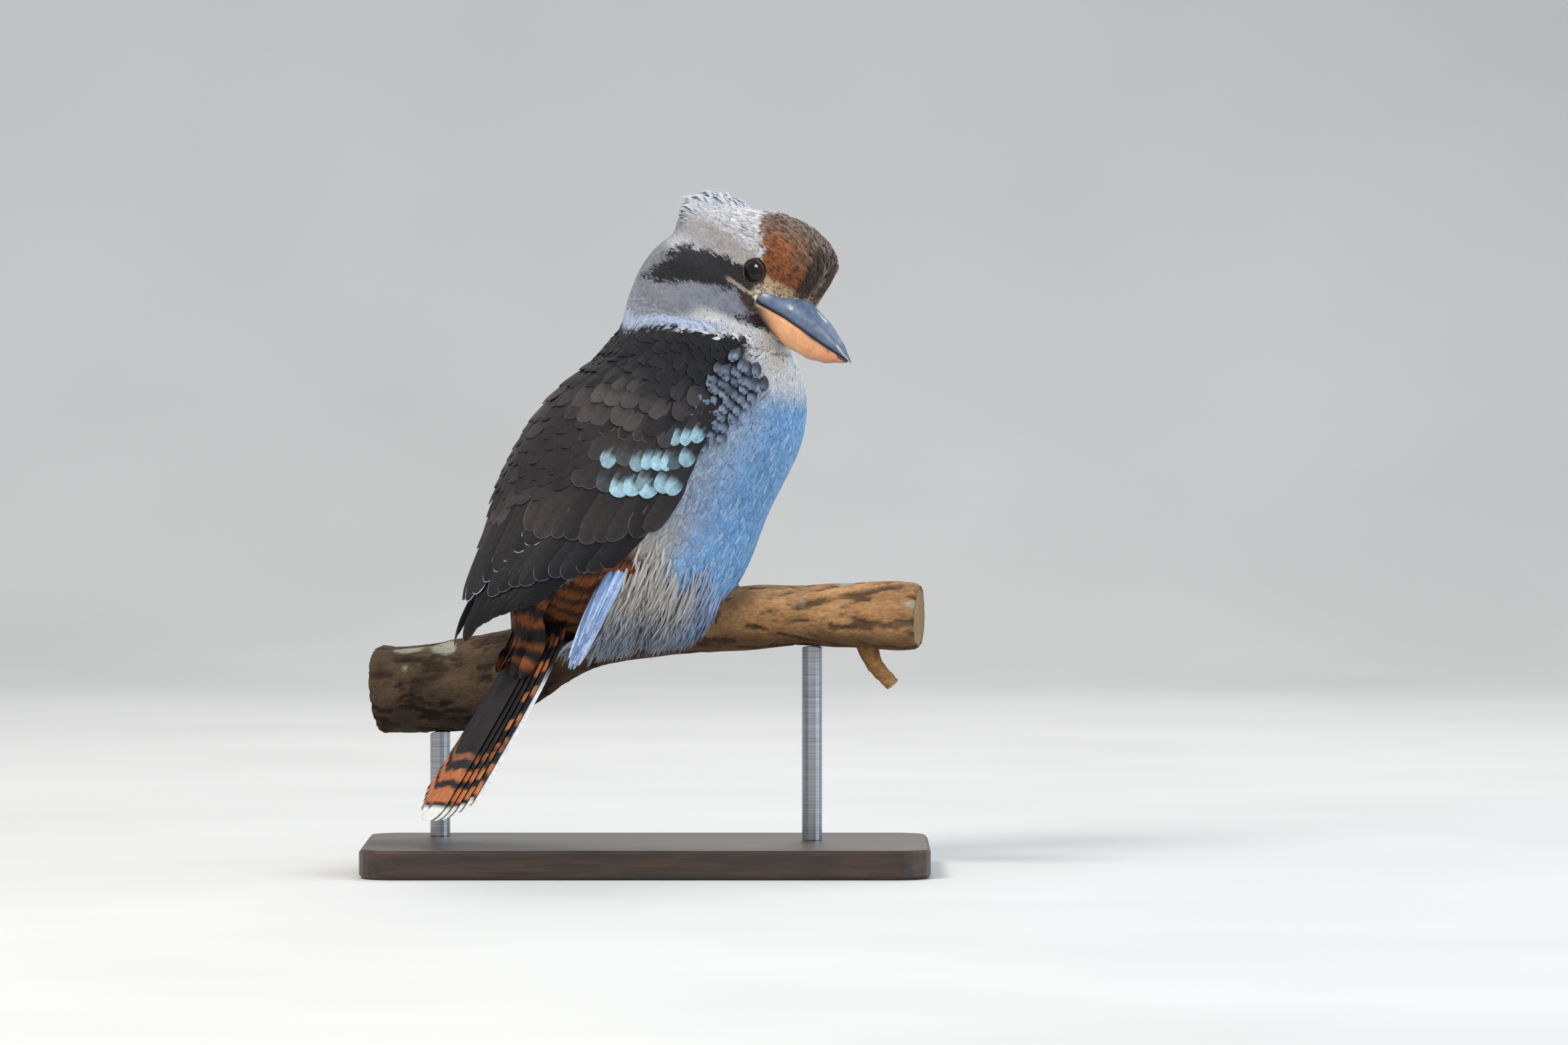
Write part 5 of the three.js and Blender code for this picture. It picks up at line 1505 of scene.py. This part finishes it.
def build_perch():
    """The cut branch: bark in relief, calmer where the bird sits, and sawn ends with rings."""
    count, sides = ((280, 92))
    line, radii = perch_line(count)
    _, out = tube(line, radii, sides)
    line, radii = line[:, None], radii[:, None]
    share, angle = np.linspace(0, 1, count)[:, None], turns(sides)
    calm = 1 - np.exp(-(((share - 0.58) / 0.12) ** 2))
    knots = 0.05 * np.sin(3 * angle + 9 * share) + 0.04 * np.sin(17 * share + 2 * angle)
    swell = radii * knots * calm * 0.8
    base = line + out * (radii + swell)[..., None]
    flakes = layered(base * np.array([0.45, 1, 1]), 7.0, 51, 4)
    cracks = layered(base * np.array([0.3, 1.2, 1.2]), 4.0, 61, 3)
    rough = lerp(1.2, 0.7, smooth(base[..., 0], -40, 20))
    relief = rough * (2.6 * (flakes - 0.55) - 1.6 * smooth(cracks, 0.55, 0.7))
    relief = relief * lerp(0.35, 1.0, 1 - bump(base[..., 0], 20, 42)) - 0.25
    rings = line + out * (radii + swell + relief)[..., None]
    tint = bark_tint(base, rings, line[..., 2], radii, flakes, cracks)
    ends = np.minimum(np.arange(count), np.arange(count)[::-1])
    rings = line + (rings - line) * (0.93 + 0.07 * np.minimum(ends / 3, 1))[:, None, None]
    start, shares = cut_face(line[0], rings[0], 24)
    end, shares = cut_face(line[-1], rings[-1], 24)
    growth = blend((150, 116, 78), (196, 162, 118), 0.5 + 0.5 * np.sin(shares * 60))
    wood = np.broadcast_to(growth[:, None], end.shape)
    points = np.concatenate([start[::-1], rings, end])[None]
    add_mesh("perch_bark", points, loft(points, fan_caps(sides)), BARK, place=part_to_part,
             tint=np.concatenate([wood[::-1], tint, wood]), replaces=("perch",))
    build_twig()


def build_twig():
    """The short stump of a side twig under the branch."""
    count, sides = 70, 40
    x, z = TWIG["at"]
    line = centre_line(np.array([x, perch_y(x), z]) + np.array(TWIG["bends"]), count)
    radii = np.interp(np.linspace(0, 1, count), [0, 0.5, 1], TWIG["radii"])
    rings, out = tube(line, radii, sides, up=(0, 1, 0))
    flakes = layered(rings, 3.0, 91)
    rings = rings + out * (1.3 * (flakes - 0.5))[..., None]
    face, _ = cut_face(line[-1], rings[-1], 12)
    points = np.concatenate([rings, face])[None]
    wood = np.broadcast_to(rgb(186, 150, 106), face.shape)
    tint = np.concatenate([blend((120, 84, 48), (186, 138, 84), flakes), wood])
    add_mesh("perch_twig", points, loft(points, fan_caps(sides)), BARK, place=part_to_part, tint=tint)


# How the branch runs under the feet, in the bird's frame, from two of its line's points.
PERCH_WAY = unit(np.array([53 - 4, perch_y(53) - perch_y(4), 125 - 119.6]) @ BIRD_M)
PERCH_FAR = unit(np.cross([0, 0, 1], PERCH_WAY))
PERCH_UP = np.cross(PERCH_WAY, PERCH_FAR)
# Toes: name, place at the root, how far that grows to the tip, end's angle round the branch, radius.
TOES = [("inner", -4.6, -1.5, 72, 2.3), ("middle", 0, 0, 92, 2.5), ("outer", 4.6, 1.5, 82, 2.3),
        ("hind", 0, 0, -66, 2.5)]


def on_perch(along, angle, lift):
    """Places round the branch: mm along it, degrees forward from its top and mm off the grip."""
    angle, reach = np.radians(angle), GRIP["radius"] + lift
    return (PERCH_WAY * np.asarray(along)[..., None] + PERCH_FAR * (reach * np.sin(angle))[..., None]
            + PERCH_UP * (reach * np.cos(angle))[..., None] + np.array([0, 0, -GRIP["drop"]]))


def scutes(line, count):
    """The rise of a row of scales along a limb."""
    steps = np.linspace(0, 1, len(line))[:, None] * count
    return np.abs(np.sin(np.pi * steps)) ** 0.5


def build_toe(side, shift, fan, end, radius):
    """One toe round the branch, with scales along its top and grain below."""
    sides, share = 28, np.linspace(0, 1, 110)
    lift = radius * lerp(1.1, 0.92, share) + 0.6
    line = on_perch(-side * (GRIP["apart"] + shift + fan * share), end * share, lift)
    radii = radius * (1 - 0.32 * share) * (1 + 0.09 * np.cos(share * 3 * 2 * np.pi))
    line, radii = round_ends(line, radii, start=False)
    rings, out = tube(line, radii, sides, up=PERCH_WAY)
    middle = on_perch(np.array(-side * GRIP["apart"]), 0, -GRIP["radius"])
    top = smooth(np.sum(out * unit(line - middle)[:, None], -1), 0.1, 0.5)
    scale = scutes(line, 19)
    rings = rings + out * (0.28 * scale * top + 0.2 * noise(rings, 1.1, 5) * (1 - top))[..., None]
    tint = blend((86, 80, 68), (132, 124, 104), scale * 0.6 + 0.4 * noise(rings, 1.5, 8))
    return rings, loft(rings[None], fan_caps(sides)), tint


def build_shank(side):
    """The short scaled leg between the toes' root and the belly's feathers."""
    count, sides = 60, 36
    ankle = on_perch(np.array(-side * GRIP["apart"]), 0, 5)
    bends = np.array([(0, 0, 0), (-3, side * 1.5, 9), (-7, side * 3, 18)])
    radii = np.interp(np.linspace(0, 1, count), [0, 0.5, 1], [4, 3.3, 4])
    line, radii = round_ends(centre_line(ankle + bends, count), radii)
    rings, out = tube(line, radii, sides, up=PERCH_WAY)
    scale = scutes(line, 9)
    rings = rings + out * (0.25 * scale)[..., None]
    tint = blend((86, 80, 68), (128, 120, 102), 0.6 * scale + 0.4 * noise(rings, 1.5, 8))
    return rings, loft(rings[None], fan_caps(sides)), tint


def build_talon(side, name, toe, shift, fan, end, radius):
    """The curved claw that goes on from a toe round the branch."""
    share = np.linspace(0, 1, 44)
    angle = end + np.sign(end) * (-2.0 + 32.5 * share)
    lift = radius * 0.92 + 0.6 + 1.6 * np.sin(np.pi * share) - 1.7 * share
    line = on_perch(np.full(len(share), -side * (GRIP["apart"] + shift + fan)), angle, lift)
    rings, _ = tube(line, np.interp(share, [0, 0.35, 0.7, 1], [1.65, 1.4, 0.9, 0.16]), 24, up=PERCH_WAY)
    c = blend((30, 27, 26), (66, 58, 52), layered(rings * 0.7, 1.5, 3))
    add_mesh(f"talon_{toe}_{name}", rings[None], loft(rings[None], fan_caps(24)), CLAW, tint=c,
             replaces=(f"claw_{toe}_{name}",))


def build_foot(side, name):
    pieces = [build_toe(side, *sizes) for toe, *sizes in TOES] + [build_shank(side)]
    before = np.cumsum([0] + [rings[..., 0].size for rings, _, _ in pieces])
    points, tints = [np.concatenate([piece[i].reshape(-1, 3) for piece in pieces]) for i in (0, 2)]
    quads = np.concatenate([quads + first for (_, quads, _), first in zip(pieces, before)])
    add_mesh(f"toes_{name}", points, quads, SCALE, tint=tints, replaces=(f"foot_{name}",))
    for toe in TOES:
        build_talon(side, name, *toe)


# The stand: its packed base and rods keep their shapes and get their finish here.
def base_material():
    material, tree, shader = new_material("stained_wood", 0.42, specular=0.45)
    grain = noise_node(tree, coordinates(tree, (1, 14, 14)), 26.0, 8.0, 0.6)
    rings = noise_node(tree, coordinates(tree, (0.4, 6, 6)), 9.0, 2.0)
    both = math(tree, "MULTIPLY_ADD", grain, 0.6, math(tree, "MULTIPLY", rings, 0.4))
    colour = ramp(tree, both, [(0.35, rgb(26, 18, 13)), (0.5, rgb(52, 36, 25)), (0.66, rgb(78, 54, 37))])
    link(tree, colour, shader, "Base Color")
    link(tree, map_range(tree, grain, 0.32, 0.55, 0, 1), shader, "Roughness")
    add_relief(tree, shader, grain, 0.12, 0.0006)
    set_sockets(shader, {"Coat Weight": 0.25, "Coat Roughness": 0.3})
    return material


def steel_material():
    material, tree, shader = new_material("brushed_steel", 0.32, metallic=1.0)
    brush = noise_node(tree, coordinates(tree, (1, 1, 60)), 30.0, 4.0)
    colour = ramp(tree, brush, [(0.3, rgb(140, 142, 146)), (0.7, rgb(176, 178, 182))])
    link(tree, colour, shader, "Base Color")
    link(tree, map_range(tree, brush, 0.24, 0.42, 0, 1), shader, "Roughness")
    return material


def finish_nodes():
    wood, steel = base_material(), steel_material()
    for name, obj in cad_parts.items():
        if name == "stand_base":
            obj.data.materials[0] = wood
        elif name.startswith("stand_rod"):
            obj.data.materials[0] = steel


def build_stage():
    """A pale floor that curves up into a backdrop far behind the model."""
    near, bend_from, bend_radius, top, half_width = -3.0, 2.2, 1.0, 3.5, 4
    turn = np.radians(np.linspace(0, 90, 24)[1:])
    sweep = zip(bend_from + bend_radius * np.sin(turn), bend_radius * (1 - np.cos(turn)))
    section = [(near, 0.0), (bend_from, 0.0), *sweep, (bend_from + bend_radius, top)]
    xs = np.linspace(-half_width, half_width, 9)
    points = np.array([[(x, y, z - 0.0004) for x in xs] for y, z in section])
    rows, cols = points.shape[:2]
    index = np.arange(rows * cols).reshape(rows, cols)
    quads = np.stack([index[:-1, :-1], index[:-1, 1:], index[1:, 1:], index[1:, :-1]], -1).reshape(-1, 4)
    mesh = bpy.data.meshes.new("floor")
    mesh.from_pydata(points.reshape(-1, 3).tolist(), [], quads.tolist())
    mesh.polygons.foreach_set("use_smooth", np.ones(len(quads), bool))
    floor = bpy.data.objects.new("floor", mesh)
    bpy.context.scene.collection.objects.link(floor)
    material, tree, shader = new_material("pale_floor", 0.9, specular=0.1)
    tone = noise_node(tree, coordinates(tree), 3.0, 2.0)
    colour = ramp(tree, tone, [(0.3, rgb(205, 205, 203)), (0.7, rgb(212, 212, 210))])
    link(tree, colour, shader, "Base Color")
    mesh.materials.append(material)


def add_light(name, size, energy, colour, at, towards):
    data = bpy.data.lights.new(name, "AREA")
    data.shape = "RECTANGLE"
    data.size, data.size_y = size
    data.energy = energy
    data.color = colour
    light = bpy.data.objects.new(name, data)
    bpy.context.scene.collection.objects.link(light)
    aim(light, at, towards)


def aim(obj, at, towards):
    from mathutils import Vector

    obj.location = at
    obj.rotation_euler = (Vector(towards) - Vector(at)).to_track_quat("-Z", "Y").to_euler()


# The lights: name, size in metres, power, colour and place.
LIGHTS = [
    ("key", (1.0, 0.8), 58, (1.0, 0.95, 0.88), (-1.2, -1.5, 2.1)),
    ("sky_fill", (1.2, 1.4), 22, (0.6, 0.79, 1.0), (1.9, -0.8, 0.9)),
    ("rim", (1.0, 1.0), 24, (1.0, 0.98, 0.95), (0.3, 1.6, 1.9)),
]
SENSOR = 36


def build_lights_and_camera():
    centre = (VIEW["centre"][0], 0.0, VIEW["centre"][1])
    for light in LIGHTS:
        add_light(*light, centre)
    world = bpy.data.worlds.new("studio")
    world.use_nodes = True
    background = world.node_tree.nodes["Background"]
    background.inputs["Color"].default_value = (0.9, 0.94, 1.0, 1)
    background.inputs["Strength"].default_value = 0.6
    bpy.context.scene.world = world
    bpy.context.scene.view_settings.view_transform = "Standard"
    data = bpy.data.cameras.new("camera")
    data.sensor_width = SENSOR
    data.lens = SENSOR * VIEW["distance"] / VIEW["width"]
    camera = bpy.data.objects.new("camera", data)
    bpy.context.scene.collection.objects.link(camera)
    tilt = np.radians(VIEW["elevation"])
    at = (centre[0], -VIEW["distance"] * np.cos(tilt), centre[2] + VIEW["distance"] * np.sin(tilt))
    aim(camera, at, centre)
    bpy.context.scene.camera = camera


finish_nodes()
build_skin()
coat_draws = np.random.default_rng(SEED)
body_coat(coat_draws)
head_coat(coat_draws)
for bird_side, side_name in ((1, "left"), (-1, "right")):
    for build in (build_wing, build_eye, build_foot, build_fluff, build_vent):
        build(bird_side, side_name)
build_mantle()
build_tail()
build_tail_coverts()
bill_half("bill_upper", CULMEN, 1, BILL["tip"], HORN)
bill_half("bill_lower", JAW, -1, BILL["tip"] - 3, BONE)
build_perch()
build_stage()
build_lights_and_camera()
